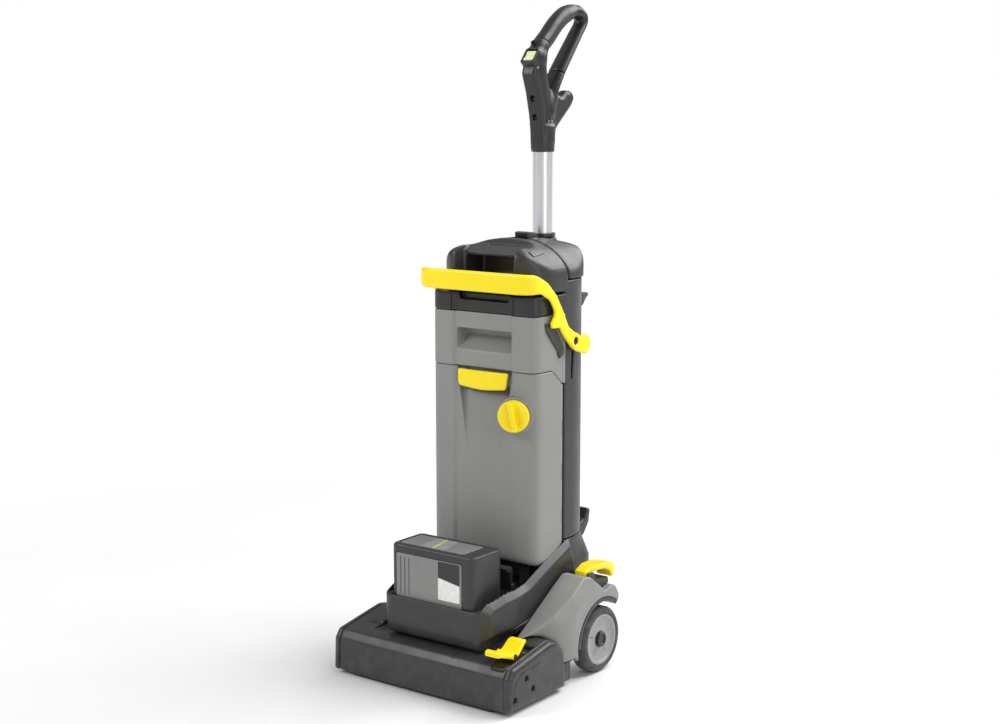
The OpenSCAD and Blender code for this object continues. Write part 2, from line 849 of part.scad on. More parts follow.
module knob_axis() {
    translate([knob_x, tank_front - 1, knob_z]) rotate([0, 0, knob_turn]) rotate([90, 0, 0])
        children();
}

module fresh_tank() {
    color(grey) placed() difference() {
        union() {
            difference() {
                intersection() {
                    plan_prism(fresh_z - 10, split_z - seat) tank_plan();
                    side_prism(-tank_w, tank_w) fresh_side();
                }
                difference() {
                    intersection() {
                        plan_prism(fresh_z, split_z + 20) tank_plan(wall);
                        side_prism(-tank_w, tank_w) fresh_side(wall);
                    }
                    front_recess(wall);
                    knob_axis() translate([0, 0, -16]) cylinder(h = 30, r = 12);
                }
                front_recess();
            }
            knob_axis() translate([0, 0, -14]) cylinder(h = 19, r = 20);
        }
        knob_axis() translate([0, 0, -12]) cylinder(h = 40, r = 5 + run_fit);
        // bores of the tank grip
        rod(-53, 53, tank_front + 5, split_z - 7, 3 + run_fit);
    }
}

module dosing_knob() {
    base = 5.4;
    color(yellow) placed() knob_axis() {
        translate([0, 0, base]) cylinder(h = 8, r = 24.5);
        translate([0, 0, -11]) cylinder(h = 11 + base, r = 5);
        translate([-6, -22, base + 8]) cube([12, 44, 9]);
    }
}

// Finger grip that unlatches the fresh tank
module tank_grip() {
    color(yellow) placed() {
        rod(-52.5, 52.5, tank_front + 5, split_z - 7, 3);
        side_prism(-46, 46) polygon([[tank_front + 5, split_z - 10], [tank_front + 5, split_z - 5],
            [tank_front - 2, split_z - 4], [tank_front - 4, split_z - 20],
            [tank_front - 1, split_z - 30], [tank_front + 2, split_z - 29],
            [tank_front + 1, split_z - 14]]);
    }
}

module dirty_side(inset = 0) {
    polygon([[tank_front + inset, split_z + inset], [tank_front + inset, lid_z + inset * 5],
        [tank_back - inset, lid_z + inset * 5], [tank_back - inset, 444 + seat * 2 + inset * 9],
        [tank_back - 8, 444 + seat * 2 + inset * 9], [-44, split_z + inset]]);
}

module dirty_recess(grow = 0) {
    side_prism(-51 - grow, 51 + grow) offset(delta = grow) polygon([[tank_front - 5, 495],
        [tank_front - 5, 526], [tank_front + 26, 526], [tank_front + 26, 516]]);
}

module dirty_tank() {
    color(grey) placed() {
        difference() {
            intersection() {
                plan_prism(440, lid_z - seat) tank_plan();
                side_prism(-tank_w, tank_w) dirty_side();
            }
            difference() {
                intersection() {
                    plan_prism(440, lid_z + 20) tank_plan(wall);
                    side_prism(-tank_w, tank_w) dirty_side(wall);
                }
                dirty_recess(wall);
            }
            dirty_recess();
        }
    }
    // catches that the bail locks over
    color(dark) placed() both_sides() side_prism(tank_w / 2, 102.6) polygon([[-62, 536], [-44, 528],
        [-18, 506], [-16, 488], [-26, 484], [-40, 500], [-52, 516], [-60, 526]]);
}

// Float that shuts the suction when the dirty tank is full
module float() {
    color([0.9, 0.5, 0.1]) placed() translate([50, -40, 0]) {
        translate([0, 0, 500]) cylinder(h = 26, r = 14);
        translate([0, 0, 526]) cylinder(h = 10, r = 4);
    }
}

module lid_frame() {
    notch = 7;
    color(black) placed() difference() {
        plan_prism(lid_z, dome_base_z - seat) tank_plan();
        plan_prism(lid_z - 1, dome_base_z - 6) tank_plan(wall + 1);
        front_prism(tank_front - 5, tank_front + notch) polygon([[-44, 569], [44, 569],
            [49, dome_base_z + 1], [-49, dome_base_z + 1]]);
        translate([-30, -70, dome_base_z - 8]) cube([60, 40, 10]);
    }
}

module dome_cover() {
    side = [[tank_front, dome_base_z], [tank_front, 612], [-80, 640], [-70, 655], [-52, 661],
        [dome_back, 662], [dome_back, cap_z + seat], [tank_back, cap_z + seat],
        [tank_back, dome_base_z]];
    color(dark) placed() difference() {
        intersection() {
            side_prism(-100, 100) polygon(side);
            front_prism(-100, 20) polygon(concat(arch(tank_w / 2, cap_z, dome_top - cap_z),
                [[tank_w / 2, dome_base_z], [-tank_w / 2, dome_base_z]]));
            plan_prism(dome_base_z, 670) tank_plan_long();
        }
        intersection() {
            side_prism(-100, 100) offset(delta = -wall) polygon(concat(side,
                [[-20, dome_base_z - 20]]));
            front_prism(-100, 20) polygon(concat(arch(tank_w / 2 - wall, cap_z,
                dome_top - cap_z - wall), [[tank_w / 2 - wall, 570], [-tank_w / 2 + wall, 570]]));
        }
        front_prism(tank_front - 5, -58) polygon([[-50, 584], [50, 584], [46, 634], [-46, 634]]);
        front_prism(-80, -40) polygon([[-46, 641], [46, 641], [40, 670], [-40, 670]]);
    }
}

module tank_plan_long() {
    w = tank_w / 2;
    r = tank_corner;
    polygon(concat(arc([-w + r, tank_front + r], r, 180, 270),
        arc([w - r, tank_front + r], r, 270, 360), [[w, dome_back], [-w, dome_back]]));
}

// ---------- Battery ----------

module battery_plan(inset = 0) {
    translate([battery_x, battery_front + battery_d / 2])
        round_rect(battery_w - 2 * inset, battery_d - 2 * inset, 9 - inset / 2);
}

panel_t = 1.5;
module battery_case() {
    color(dark) placed() difference() {
        union() {
            plan_prism(tray_floor_z + seat, battery_top - 4) battery_plan();
            plan_prism(battery_top - 4, battery_top) battery_plan(3);
        }
        plan_prism(tray_floor_z + 4, battery_top - 6) battery_plan(5);
        translate([battery_x - 69, battery_front - 1, 128]) cube([126, 1 + panel_t, 70]);
        translate([battery_x - 70, battery_front + 10, battery_top - panel_t])
            cube([124, battery_d - 20, 5]);
    }
}

module battery_panels() {
    color(grey) placed() {
        difference() {
            translate([battery_x - 69 + seat, battery_front + 0.2, 128 + seat])
                cube([126 - 2 * seat, panel_t - 0.2, 70 - 2 * seat]);
            for (i = [0:2]) translate([battery_x - 61 + 8 * i, battery_front - 1, 134])
                cube([2.5, 2, 58]);
        }
        translate([battery_x - 70 + seat, battery_front + 10 + seat, battery_top - panel_t])
            cube([124 - 2 * seat, battery_d - 20 - 2 * seat, panel_t - 0.2]);
    }
}

module battery_cells() {
    color([0.2, 0.4, 0.7]) placed() for (i = [0:5]) for (j = [-1, 1])
        translate([battery_x - 57.5 + 23 * i, battery_front + battery_d / 2 + 13 * j, 96])
            cylinder(h = 96, r = 10.5);
}

// Clip behind the battery
module battery_latch() {
    color(black) placed() difference() {
        side_prism(49.5, 74.5) translate([battery_latch_y, 0]) polygon([[-3.5, 144], [-3.5, 168],
            [-11, 171], [-11, 175], [0, 177], [3, 171], [3, 144]]);
        rod(45, 79, battery_latch_y, battery_latch_z, 1.5 + run_fit);
    }
}

// ---------- Handle ----------

tube_length = 527;
module tube() {
    color([0.85, 0.86, 0.87]) placed() translate([0, tube_y, 310]) difference() {
        cylinder(h = tube_length, r = tube_r);
        translate([0, 0, -1]) cylinder(h = tube_length + 2, r = tube_r - tube_wall);
    }
}

neck_line = [[tube_y, grip_z + 18], [69, 845], [61, 880], [51, 905], [50, 928]];
loop_line = [[50, 928], [62, 948], [80, 963], [100, 981], [121, 996], [144, 1004], [160, 1004]];
rear_line = [[160, 1004], [171, 998], [172, 988], [140, 950], [106, 910], [84, 876], [76, 850]];

module handle_shell() {
    color(black) placed() difference() {
        union() {
            translate([0, tube_y, grip_z]) cylinder(h = 40, r = 18.4);
            side_prism(-15, 15) stroke(neck_line, 34);
            side_prism(-13, 13) stroke(loop_line, 27);
            side_prism(-7, 7) stroke(rear_line, 14);
            // hook for the mains lead or charger cord
            side_prism(-9, 9) polygon([[82, 812], [104, 832], [135, 858], [141, 868],
                [136, 877], [124, 880], [98, 866], [78, 856]]);
        }
        translate([0, tube_y, grip_z - 1]) cylinder(h = 51.5, r = tube_r + 0.1);
        // seat of the rocker
        rocker_place() translate([-9.5, -11.5, -5.5]) cube([19, 23, 30]);
        for (p = handle_screw_places) handle_screw_at(p) translate([0, 0, -1])
            cylinder(h = 30, r = 4.2);
        for (p = handle_screw_places) handle_screw_at(p) translate([0, 0, -9])
            cylinder(h = 10, r = 1.8);
    }
    color(black) placed() rocker_place() rod(-10, 10, 0, 0, 1.45);
}

module rocker_place() {
    translate([0, rocker_y + 6, rocker_z - 5]) rotate([50, 0, 0]) children();
}

module power_rocker() {
    color([0.9, 0.95, 0.7]) placed() rocker_place() {
        difference() {
            side_prism(-8.8, 8.8) polygon([[-9.4, 2], [-9.4, 7.5], [0, 5.2], [9.4, 6.5],
                [9.4, 2], [4, -3.6], [-4, -3.6]]);
            rod(-10, 10, 0, 0, 1.5);
        }
    }
}

// Each screw: y, z of the head seat and the tilt of its axis
handle_screw_places = [[48, 868, 80], [54, 840, 84], [44, 953, 55]];
module handle_screw_at(p) {
    translate([0, p[0], p[1]]) rotate([p[2], 0, 0]) children();
}

module handle_screws() {
    color(steel) placed() for (p = handle_screw_places) handle_screw_at(p) {
        cylinder(h = 2.4, r = 3.8);
        translate([0, 0, -8]) cylinder(h = 9, r = 1.6);
    }
}

head_housing();
end_plate_left();
end_plate_right();
end_plate_screws();
pedal_insert();
fender_left();
fender_right();
arch_liners();
chassis_frame();
axle();
brush_motor();
drive_belt();
brush_bearings();
suction_bellows();
tyre_left();
rim_left();
hub_cap_left();
tyre_right();
rim_right();
hub_cap_right();
brush_core();
brush_bristles();
brush_pulley();
motor_pulley();
front_bar();
front_blade();
rear_bar();
rear_blade();
bar_pedal();
tilt_pedal();
pedal_bracket();
lower_frame();
column_base();
column_shell();
column_cap();
pivot_bushes();
tube_guide();
suction_hose();
turbine_housing();
control_board();
bail_pins();
impeller();
tube_latch();
cable_hook();
bail();
fresh_tank();
dosing_knob();
tank_grip();
dirty_tank();
float();
lid_frame();
dome_cover();
battery_case();
battery_panels();
battery_cells();
battery_latch();
tube();
handle_shell();
power_rocker();
handle_screws();
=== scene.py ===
"""Looks of a walk-behind floor scrubber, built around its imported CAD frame.

Shapes are worked out in millimetres from the point on the floor under the middle of the
wheel axle, along the frame's axes: -Y is the front of the machine, +X its right side seen
from the front, +Z up. Meshes are stored in metres, at the frame's origin.
"""

import json
import math

import bmesh
import bpy
import numpy as np
from mathutils import Matrix, Vector


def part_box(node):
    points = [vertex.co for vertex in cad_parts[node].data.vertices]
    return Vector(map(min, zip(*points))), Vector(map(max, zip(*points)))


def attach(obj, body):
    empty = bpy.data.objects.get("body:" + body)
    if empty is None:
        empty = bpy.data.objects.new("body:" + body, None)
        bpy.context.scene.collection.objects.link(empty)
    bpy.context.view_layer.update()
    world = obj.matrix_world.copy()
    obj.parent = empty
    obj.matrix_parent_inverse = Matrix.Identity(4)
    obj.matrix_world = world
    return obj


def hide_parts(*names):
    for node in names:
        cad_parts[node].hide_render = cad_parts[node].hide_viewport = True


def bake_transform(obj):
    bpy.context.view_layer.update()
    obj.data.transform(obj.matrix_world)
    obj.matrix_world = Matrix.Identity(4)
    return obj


MM = 0.001
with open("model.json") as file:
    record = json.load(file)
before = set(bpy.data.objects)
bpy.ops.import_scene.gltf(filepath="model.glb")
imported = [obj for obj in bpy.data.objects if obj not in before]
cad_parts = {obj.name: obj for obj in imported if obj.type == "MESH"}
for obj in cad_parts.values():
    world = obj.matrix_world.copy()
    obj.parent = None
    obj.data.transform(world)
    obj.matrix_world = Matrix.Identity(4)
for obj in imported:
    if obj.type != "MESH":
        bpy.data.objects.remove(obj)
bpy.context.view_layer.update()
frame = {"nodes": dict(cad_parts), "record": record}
scene = bpy.context.scene
# The wheel axle's place. Shapes are laid out from it, and mesh_object() moves them to the frame.
AXLE_Y = float(sum(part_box("axle")[k][1] for k in (0, 1)) / 2 / MM)
AXLE_Z = 51
ACROSS, UP = (1, 0, 0), (0, 0, 1)     # directions

TINY = 1e-9
WELD_DISTANCE = 0.00001   # metres
FLAT_ANGLE = 0.5          # degrees between CAD facets that count as one flat


# ---------- Places, from the frame ----------

class Box:
    """A CAD node's box at rest, in millimetres from the point under the wheel axle."""

    def __init__(self, node):
        low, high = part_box(node)
        self.x0, self.y0, self.z0 = low / MM - Vector((0, AXLE_Y, 0))
        self.x1, self.y1, self.z1 = high / MM - Vector((0, AXLE_Y, 0))
        self.x = (self.x0 + self.x1) / 2
        self.y = (self.y0 + self.y1) / 2
        self.z = (self.z0 + self.z1) / 2


# ---------- Materials ----------

def linear(*rgb):
    """An sRGB colour, 0 to 255, as linear values with alpha."""
    def channel(value):
        value /= 255
        return value / 12.92 if value <= 0.04045 else ((value + 0.055) / 1.055) ** 2.4
    return tuple(channel(value) for value in rgb) + (1.0,)


class Nodes:
    """A short way to lay out a material's nodes."""

    def __init__(self, name):
        self.material = bpy.data.materials.new(name)
        self.material.use_nodes = True
        self.tree = self.material.node_tree
        self.shader = self.tree.nodes["Principled BSDF"]
        self.place = self.add("ShaderNodeTexCoord").outputs["Object"]

    def add(self, kind, **settings):
        node = self.tree.nodes.new(kind)
        for name, value in settings.items():
            setattr(node, name, value)
        return node

    def link(self, source, target):
        self.tree.links.new(source, target)

    def stretched(self, scale):
        """Object coordinates scaled by a vector."""
        mapping = self.add("ShaderNodeMapping")
        mapping.inputs["Scale"].default_value = scale
        self.link(self.place, mapping.inputs["Vector"])
        return mapping.outputs["Vector"]

    def noise(self, scale, detail=2.0, place=None):
        noise = self.add("ShaderNodeTexNoise")
        noise.inputs["Scale"].default_value = scale
        noise.inputs["Detail"].default_value = detail
        self.link(place or self.place, noise.inputs["Vector"])
        return noise.outputs["Fac"]

    def spread(self, source, low, high, out_low=0.0, out_high=1.0):
        spread = self.add("ShaderNodeMapRange")
        self.link(source, spread.inputs["Value"])
        names = ["From Min", "From Max", "To Min", "To Max"]
        for name, value in zip(names, [low, high, out_low, out_high]):
            spread.inputs[name].default_value = value
        return spread.outputs["Result"]

    def mix(self, factor, first, second):
        """Colour between first and second, each a socket or a colour."""
        mix = self.add("ShaderNodeMix", data_type="RGBA")
        self.link(factor, mix.inputs[0])
        for value, socket in ((first, mix.inputs[6]), (second, mix.inputs[7])):
            if isinstance(value, tuple):
                socket.default_value = value
            else:
                self.link(value, socket)
        return mix.outputs[2]

    def times(self, first, second):
        node = self.add("ShaderNodeMath", operation="MULTIPLY")
        self.link(first, node.inputs[0])
        self.link(second, node.inputs[1])
        return node.outputs[0]

    def bump(self, height, strength, distance):
        bump = self.add("ShaderNodeBump")
        bump.inputs["Strength"].default_value = strength
        bump.inputs["Distance"].default_value = distance
        self.link(height, bump.inputs["Height"])
        self.link(bump.outputs["Normal"], self.shader.inputs["Normal"])

    def edges(self):
        """1 on rounded outer edges, 0 on flats."""
        return self.spread(self.add("ShaderNodeNewGeometry").outputs["Pointiness"], 0.505, 0.56)

    def low_down(self, height):
        """1 at the floor, 0 above a height in metres."""
        split = self.add("ShaderNodeSeparateXYZ")
        self.link(self.place, split.inputs[0])
        return self.spread(split.outputs["Z"], 0.0, height, 1.0, 0.0)


def plastic(name, colour, rough, grain=1400.0, grain_depth=0.12, gloss=0.5, dust=0.1):
    """Moulded plastic: spark-eroded grain, slight shade changes, painted highlights on the rounded edges,
    floor dust.
    """
    m = Nodes(name)
    darker = tuple(c * 0.96 for c in colour[:3]) + (1.0,)
    paler = tuple(min(1.0, c * 1.04) for c in colour[:3]) + (1.0,)
    # painted highlight: rounded outer edges are paler, in broken patches, where light would catch them
    edge_light = tuple(min(1.0, c * 1.25 + 0.012) for c in colour[:3]) + (1.0,)
    body = m.mix(m.spread(m.noise(7.0, 3.0), 0.35, 0.65), darker, paler)
    edge_light_mask = m.times(m.edges(), m.spread(m.noise(160.0, 3.0), 0.42, 0.7, 0.25, 0.8))
    edged = m.mix(edge_light_mask, body, edge_light)
    dusty = m.times(m.low_down(0.16), m.spread(m.noise(55.0, 5.0), 0.45, 0.75, 0.0, dust))
    m.link(m.mix(dusty, edged, linear(150, 146, 138)), m.shader.inputs["Base Color"])
    smear = m.noise(26.0, 5.0)
    m.link(m.spread(smear, 0.3, 0.7, rough - 0.06, rough + 0.08), m.shader.inputs["Roughness"])
    m.shader.inputs["Specular IOR Level"].default_value = gloss
    m.bump(m.noise(grain, 2.0), grain_depth, 0.0004)
    return m.material


def rubber(name, colour):
    """Matt rubber with a fine cast skin and pale bloom on its edges."""
    m = Nodes(name)
    bloom = tuple(c * 1.5 + 0.02 for c in colour[:3]) + (1.0,)
    mottled = m.mix(m.spread(m.noise(70.0, 6.0), 0.4, 0.75), colour, bloom)
    m.link(m.mix(m.edges(), mottled, bloom), m.shader.inputs["Base Color"])
    m.link(m.spread(m.noise(90.0, 4.0), 0.3, 0.7, 0.62, 0.86), m.shader.inputs["Roughness"])
    m.shader.inputs["Specular IOR Level"].default_value = 0.35
    m.bump(m.noise(700.0, 4.0), 0.25, 0.0004)
    return m.material


def metal(name, colour, rough, along):
    """Drawn or turned metal with fine lines; along is the coordinate scale of the lines."""
    m = Nodes(name)
    lines = m.noise(300.0, 3.0, m.stretched(along))
    tint = tuple(c * 0.82 for c in colour[:3]) + (1.0,)
    m.link(m.mix(m.spread(lines, 0.35, 0.7), tint, colour), m.shader.inputs["Base Color"])
    m.link(m.spread(lines, 0.3, 0.7, rough - 0.05, rough + 0.1), m.shader.inputs["Roughness"])
    m.shader.inputs["Metallic"].default_value = 1.0
    m.bump(lines, 0.05, 0.0002)
    return m.material


def make_materials():
    return {
        "dark_plastic": plastic("dark_plastic", linear(48, 48, 49), 0.38),
        "black_plastic": plastic("black_plastic", linear(34, 34, 35), 0.32, grain_depth=0.08),
        "grey_plastic": plastic("grey_plastic", linear(136, 136, 134), 0.46),
        "panel_grey": plastic("panel_grey", linear(128, 128, 127), 0.4),
        "yellow_plastic": plastic("yellow_plastic", linear(250, 226, 0), 0.34, grain_depth=0.05,
                                  dust=0.05),
        "rim_grey": plastic("rim_grey", linear(150, 151, 151), 0.45, dust=0.2),
        "tyre_rubber": rubber("tyre_rubber", linear(66, 66, 67)),
        "rubber": rubber("rubber", linear(48, 48, 49)),
        "black_steel": metal("black_steel", linear(46, 46, 48), 0.4, (1.0, 1.0, 1.0)),
        "steel": metal("steel", linear(196, 198, 201), 0.28, (1.0, 12.0, 1.0)),
        "tube_aluminium": metal("tube_aluminium", linear(226, 228, 231), 0.3, (9.0, 9.0, 0.05)),
        "bristle": plastic("bristle", linear(224, 224, 220), 0.6, grain=900.0, grain_depth=0.15, dust=0.0),
        "circuit": plastic("circuit", linear(28, 92, 58), 0.35, grain=300.0, grain_depth=0.3),
        "cell": plastic("cell", linear(60, 96, 150), 0.3, grain_depth=0.04),
        "float_orange": plastic("float_orange", linear(222, 126, 40), 0.5),
        "rocker": plastic("rocker", linear(226, 240, 190), 0.3, grain_depth=0.04),
    }


def dress(obj, material, body):
    """Gives a new piece its one material and body."""
    obj.data.materials.clear()
    obj.data.materials.append(MATERIALS[material])
    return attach(obj, body)


def stand_in(obj, material, body, *nodes):
    """Dresses a piece that is shown in place of CAD nodes."""
    dress(obj, material, body)
    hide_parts(*nodes)


# ---------- CAD nodes that stay ----------

def node_slot(name):
    """The record's material slot of a CAD node."""
    return next(row["material_slot"] for row in frame["record"]["subparts"] if row["node"] == name)


def dress_cad_node(name, width=0.8):
    """Rounds the edges of a CAD node with modifiers and gives it its slot's material."""
    obj = frame["nodes"][name]
    obj.data.materials.clear()
    finish = "black_steel" if name.endswith("_screws") else node_slot(name)
    obj.data.materials.append(MATERIALS[finish])
    for polygon in obj.data.polygons:
        polygon.use_smooth = True
        polygon.material_index = 0
    obj.modifiers.new("weld", "WELD").merge_threshold = WELD_DISTANCE
    flat = obj.modifiers.new("flat", "DECIMATE")
    flat.decimate_type = "DISSOLVE"
    flat.angle_limit = math.radians(FLAT_ANGLE)
    round_edges(obj, width)


def round_edges(obj, width, segments=3, limit=32):
    bevel = obj.modifiers.new("edges", "BEVEL")
    bevel.width = width * MM
    bevel.segments = segments
    bevel.limit_method = "ANGLE"
    bevel.angle_limit = math.radians(limit)
    bevel.miter_outer = "MITER_ARC"
    shade = obj.modifiers.new("shade", "WEIGHTED_NORMAL")
    shade.keep_sharp = True


# ---------- Distance fields ----------
# A moulding is described as a field: the distance from each sample point to its skin, below
# zero inside. Fields join and cut with rounded edges, as mouldings do.

def rounded(points, steps=6):
    """An outline whose corners given as (u, v, radius) are rounded."""
    outline = []
    for i, corner in enumerate(points):
        here = np.array(corner[:2], float)
        if len(corner) == 2:
            outline.append(here)
            continue
        back = np.array(points[i - 1][:2], float) - here
        on = np.array(points[(i + 1) % len(points)][:2], float) - here
        back_length, on_length = np.hypot(*back), np.hypot(*on)
        back, on = back / back_length, on / on_length
        half = math.acos(max(-1.0, min(1.0, float(back @ on)))) / 2
        cut = min(corner[2] / math.tan(half), 0.49 * back_length, 0.49 * on_length)
        for t in np.linspace(0, 1, steps + 1):
            pull = (1 - t) ** 2 * back + t ** 2 * on
            outline.append(here + cut * pull)
    return np.array(outline)


def rectangle(u0, v0, u1, v1, radius):
    """A rectangle with rounded corners."""
    return rounded([(u0, v0, radius), (u1, v0, radius), (u1, v1, radius), (u0, v1, radius)])


def arc_plan(half, front, back, front_radius, back_radius, steps=16):
    """A plan outline with true quarter circles at its corners."""
    quarter = np.linspace(0, math.pi / 2, steps)
    right = [(half - front_radius * (1 - math.sin(a)), front + front_radius * (1 - math.cos(a)))
             for a in quarter]
    right += [(half - back_radius * (1 - math.cos(a)), back - back_radius * (1 - math.sin(a)))
              for a in quarter]
    return np.array(right + [(-x, y) for x, y in reversed(right)])


def smooth_line(points, steps=8):
    """Points along a smooth curve through the given ones (Catmull-Rom)."""
    p = np.array(points, float)
    p = np.vstack([2 * p[0] - p[1], p, 2 * p[-1] - p[-2]])
    line = []
    for a, b, c, d in zip(p, p[1:], p[2:], p[3:]):
        for t in np.linspace(0, 1, steps, endpoint=False):
            line.append(0.5 * (2 * b + (c - a) * t + (2 * a - 5 * b + 4 * c - d) * t ** 2
                               + (3 * b - a - 3 * c + d) * t ** 3))
    line.append(p[-2])
    return np.array(line)


def outline_distance(u, v, outline):
    """Distance to a closed outline, below zero inside it."""
    u, v = np.broadcast_arrays(u, v)
    nearest = np.full(u.shape, np.inf, np.float32)
    inside = np.zeros(u.shape, bool)
    for (au, av), (bu, bv) in zip(outline, np.roll(outline, -1, 0)):
        du, dv = bu - au, bv - av
        length = du * du + dv * dv
        if length < TINY:
            continue
        t = np.clip(((u - au) * du + (v - av) * dv) / length, 0, 1)
        nearest = np.minimum(nearest, (u - au - du * t) ** 2 + (v - av - dv * t) ** 2)
        if abs(dv) > TINY:
            inside ^= ((av > v) != (bv > v)) & (u < du * (v - av) / dv + au)
    return np.where(inside, -np.sqrt(nearest), np.sqrt(nearest)).astype(np.float32)


def both(a, b, r=0.0):
    """Where two fields overlap, with the outer edge rounded."""
    if r == 0:
        return np.maximum(a, b)
    round_part = np.hypot(np.maximum(a + r, 0), np.maximum(b + r, 0))
    return np.minimum(-r, np.maximum(a, b)) + round_part


def either(a, b, r=0.0):
    """Two fields joined, with a fillet between them."""
    if r == 0:
        return np.minimum(a, b)
    round_part = np.hypot(np.maximum(r - a, 0), np.maximum(r - b, 0))
    return np.maximum(r, np.minimum(a, b)) - round_part


def without(a, b, r=0.0):
    return both(a, -b, r)


def bevelled(a, b, width):
    """Where two fields overlap, with a flat bevel on the outer edge."""
    return np.maximum(np.maximum(a, b), (a + b + width) * math.sqrt(0.5))


def between(values, low, high):
    return np.abs(values - (low + high) / 2) - (high - low) / 2


class Grid:
    """A block of sample points that a moulding is worked out on, in millimetres."""

    def __init__(self, low, high, step=1.5):
        step *= 1.0
        self.step = step
        # the samples are set off from round numbers, so that no flat skin lies exactly on them
        self.axes = [np.arange(a - 2.37 * step, b + 3 * step, step, dtype=np.float32)
                     for a, b in zip(low, high)]
        self.x = self.axes[0][:, None, None]
        self.y = self.axes[1][None, :, None]
        self.z = self.axes[2][None, None, :]

    def side(self, outline):
        return outline_distance(self.y, self.z, np.asarray(outline, float))

    def front(self, outline):
        return outline_distance(self.x, self.z, np.asarray(outline, float))

    def plan(self, outline):
        return outline_distance(self.x, self.y, np.asarray(outline, float))

    def block(self, low, high, r=0.0):
        """A box with its edges rounded."""
        sides = [between(v, a + r, b - r) for v, a, b in zip((self.x, self.y, self.z), low, high)]
        outer = np.sqrt(sum(np.maximum(s, 0) ** 2 for s in sides))
        return outer + np.minimum(np.maximum(np.maximum(sides[0], sides[1]), sides[2]), 0) - r

    def along(self, point, direction):
        """Distance along a direction from a point, and distance from that line."""
        direction = np.array(direction, float) / np.linalg.norm(direction)
        offsets = [self.x - point[0], self.y - point[1], self.z - point[2]]
        run = sum(o * d for o, d in zip(offsets, direction))
        reach = np.sqrt(np.maximum(sum(o * o for o in offsets) - run * run, 0))
        return run, reach

    def reach(self, point, direction=ACROSS):
        """Distance from a line, which runs across the machine unless told otherwise."""
        return self.along(point, direction)[1]

    def cylinder(self, point, direction, radius, low, high, r=0.0):
        run, reach = self.along(point, direction)
        return both(reach - radius, between(run, low, high), r)

    def tube(self, line, radii, flat=1.0):
        """A round bar along a line; flat below 1 makes it wider across X than it is deep."""
        nearest = np.full((self.x.size, self.y.size, self.z.size), np.inf, np.float32)
        for a, b, ra, rb in zip(line, line[1:], radii, radii[1:]):
            d = b - a
            w = [(self.x - a[0]) * flat, self.y - a[1], self.z - a[2]]
            e = [d[0] * flat, d[1], d[2]]
            t = np.clip(sum(p * q for p, q in zip(w, e)) / sum(q * q for q in e), 0, 1)
            reach = np.sqrt(sum((p - q * t) ** 2 for p, q in zip(w, e)))
            nearest = np.minimum(nearest, reach - (ra + (rb - ra) * t))
        return nearest

    def moulding(self, name, field, relax=2):
        """The skin of a field as a mesh object."""
        shape = (self.x.size, self.y.size, self.z.size)
        field = np.broadcast_to(field, shape).astype(np.float32).copy()
        for axis in range(3):
            for end in (0, -1):
                edge = [slice(None)] * 3
                edge[axis] = end
                field[tuple(edge)] = np.maximum(field[tuple(edge)], 0.1)
        low = np.array([axis[0] for axis in self.axes])
        points, faces = surface_net(field)
        for _ in range(relax):
            points = relaxed(points, faces)
        return mesh_object(name, points * self.step + low, faces)


def surface_net(field):
    """Quads round the zero surface of a field, with one point in each cell it crosses."""
    rings, places = [], []
    for axis in range(3):
        near = tuple(slice(0, -1) if k == axis else slice(None) for k in range(3))
        far = tuple(slice(1, None) if k == axis else slice(None) for k in range(3))
        edge = np.argwhere((field[near] < 0) != (field[far] < 0))
        a, b = field[near][tuple(edge.T)], field[far][tuple(edge.T)]
        place = edge.astype(float)
        place[:, axis] += a / (a - b)
        u, v = (axis + 1) % 3, (axis + 2) % 3
        ring = []
        for du, dv in ((1, 1), (0, 1), (0, 0), (1, 0)):
            cell = edge.copy()
            cell[:, u] -= du
            cell[:, v] -= dv
            ring.append(np.ravel_multi_index(cell.T, field.shape))
        ring = np.stack(ring, 1)
        ring[a > 0] = ring[a > 0][:, ::-1]
        rings.append(ring)
        places.append(np.repeat(place, 4, 0))
    corners = np.unique(np.concatenate(rings).ravel(), return_inverse=True)[1]
    places = np.concatenate(places)
    shares = np.bincount(corners)
    points = np.stack([np.bincount(corners, places[:, k]) / shares for k in range(3)], 1)
    return points, corners.reshape(-1, 4)


def relaxed(points, faces, share=0.5):
    """Points moved part of the way to the middle of their neighbours."""
    start = np.concatenate([faces.ravel(), np.roll(faces, -1, 1).ravel()])
    end = np.concatenate([np.roll(faces, -1, 1).ravel(), faces.ravel()])
    count = np.bincount(start)
    middle = np.stack([np.bincount(start, points[end, k]) / count for k in range(3)], 1)
    return points + share * (middle - points)


# ---------- Meshes ----------

def mesh_object(name, points, faces):
    """A smooth-shaded object from points in millimetres from under the axle."""
    mesh = bpy.data.meshes.new(name)
    points = (np.asarray(points) + (0, AXLE_Y, 0)) * MM
    mesh.from_pydata(points.tolist(), [], [list(map(int, f)) for f in faces])
    mesh.shade_smooth()
    obj = bpy.data.objects.new(name, mesh)
    scene.collection.objects.link(obj)
    return obj


def prism(name, outline, axis, low, high):
    """An outline pulled along an axis: (y, z) along X, (x, z) along Y or (x, y) along Z."""
    order = {"x": (2, 0, 1), "y": (0, 2, 1), "z": (0, 1, 2)}[axis]
    count = len(outline)
    points = [[(u, v, w)[k] for k in order] for w in (low, high) for u, v in outline]
    faces = [list(range(count)), list(range(count, 2 * count))]
    for i in range(count):
        j = (i + 1) % count
        faces.append([i, j, j + count, i + count])
    obj = mesh_object(name, points, faces)
    tidy_normals(obj)
    return obj


def tidy_normals(obj):
    work = bmesh.new()
    work.from_mesh(obj.data)
    bmesh.ops.recalc_face_normals(work, faces=work.faces)
    work.to_mesh(obj.data)
    work.free()


def settle(obj):
    """Applies an object's modifiers."""
    graph = bpy.context.evaluated_depsgraph_get()
    mesh = bpy.data.meshes.new_from_object(obj.evaluated_get(graph))
    obj.modifiers.clear()
    obj.data = mesh
    return obj


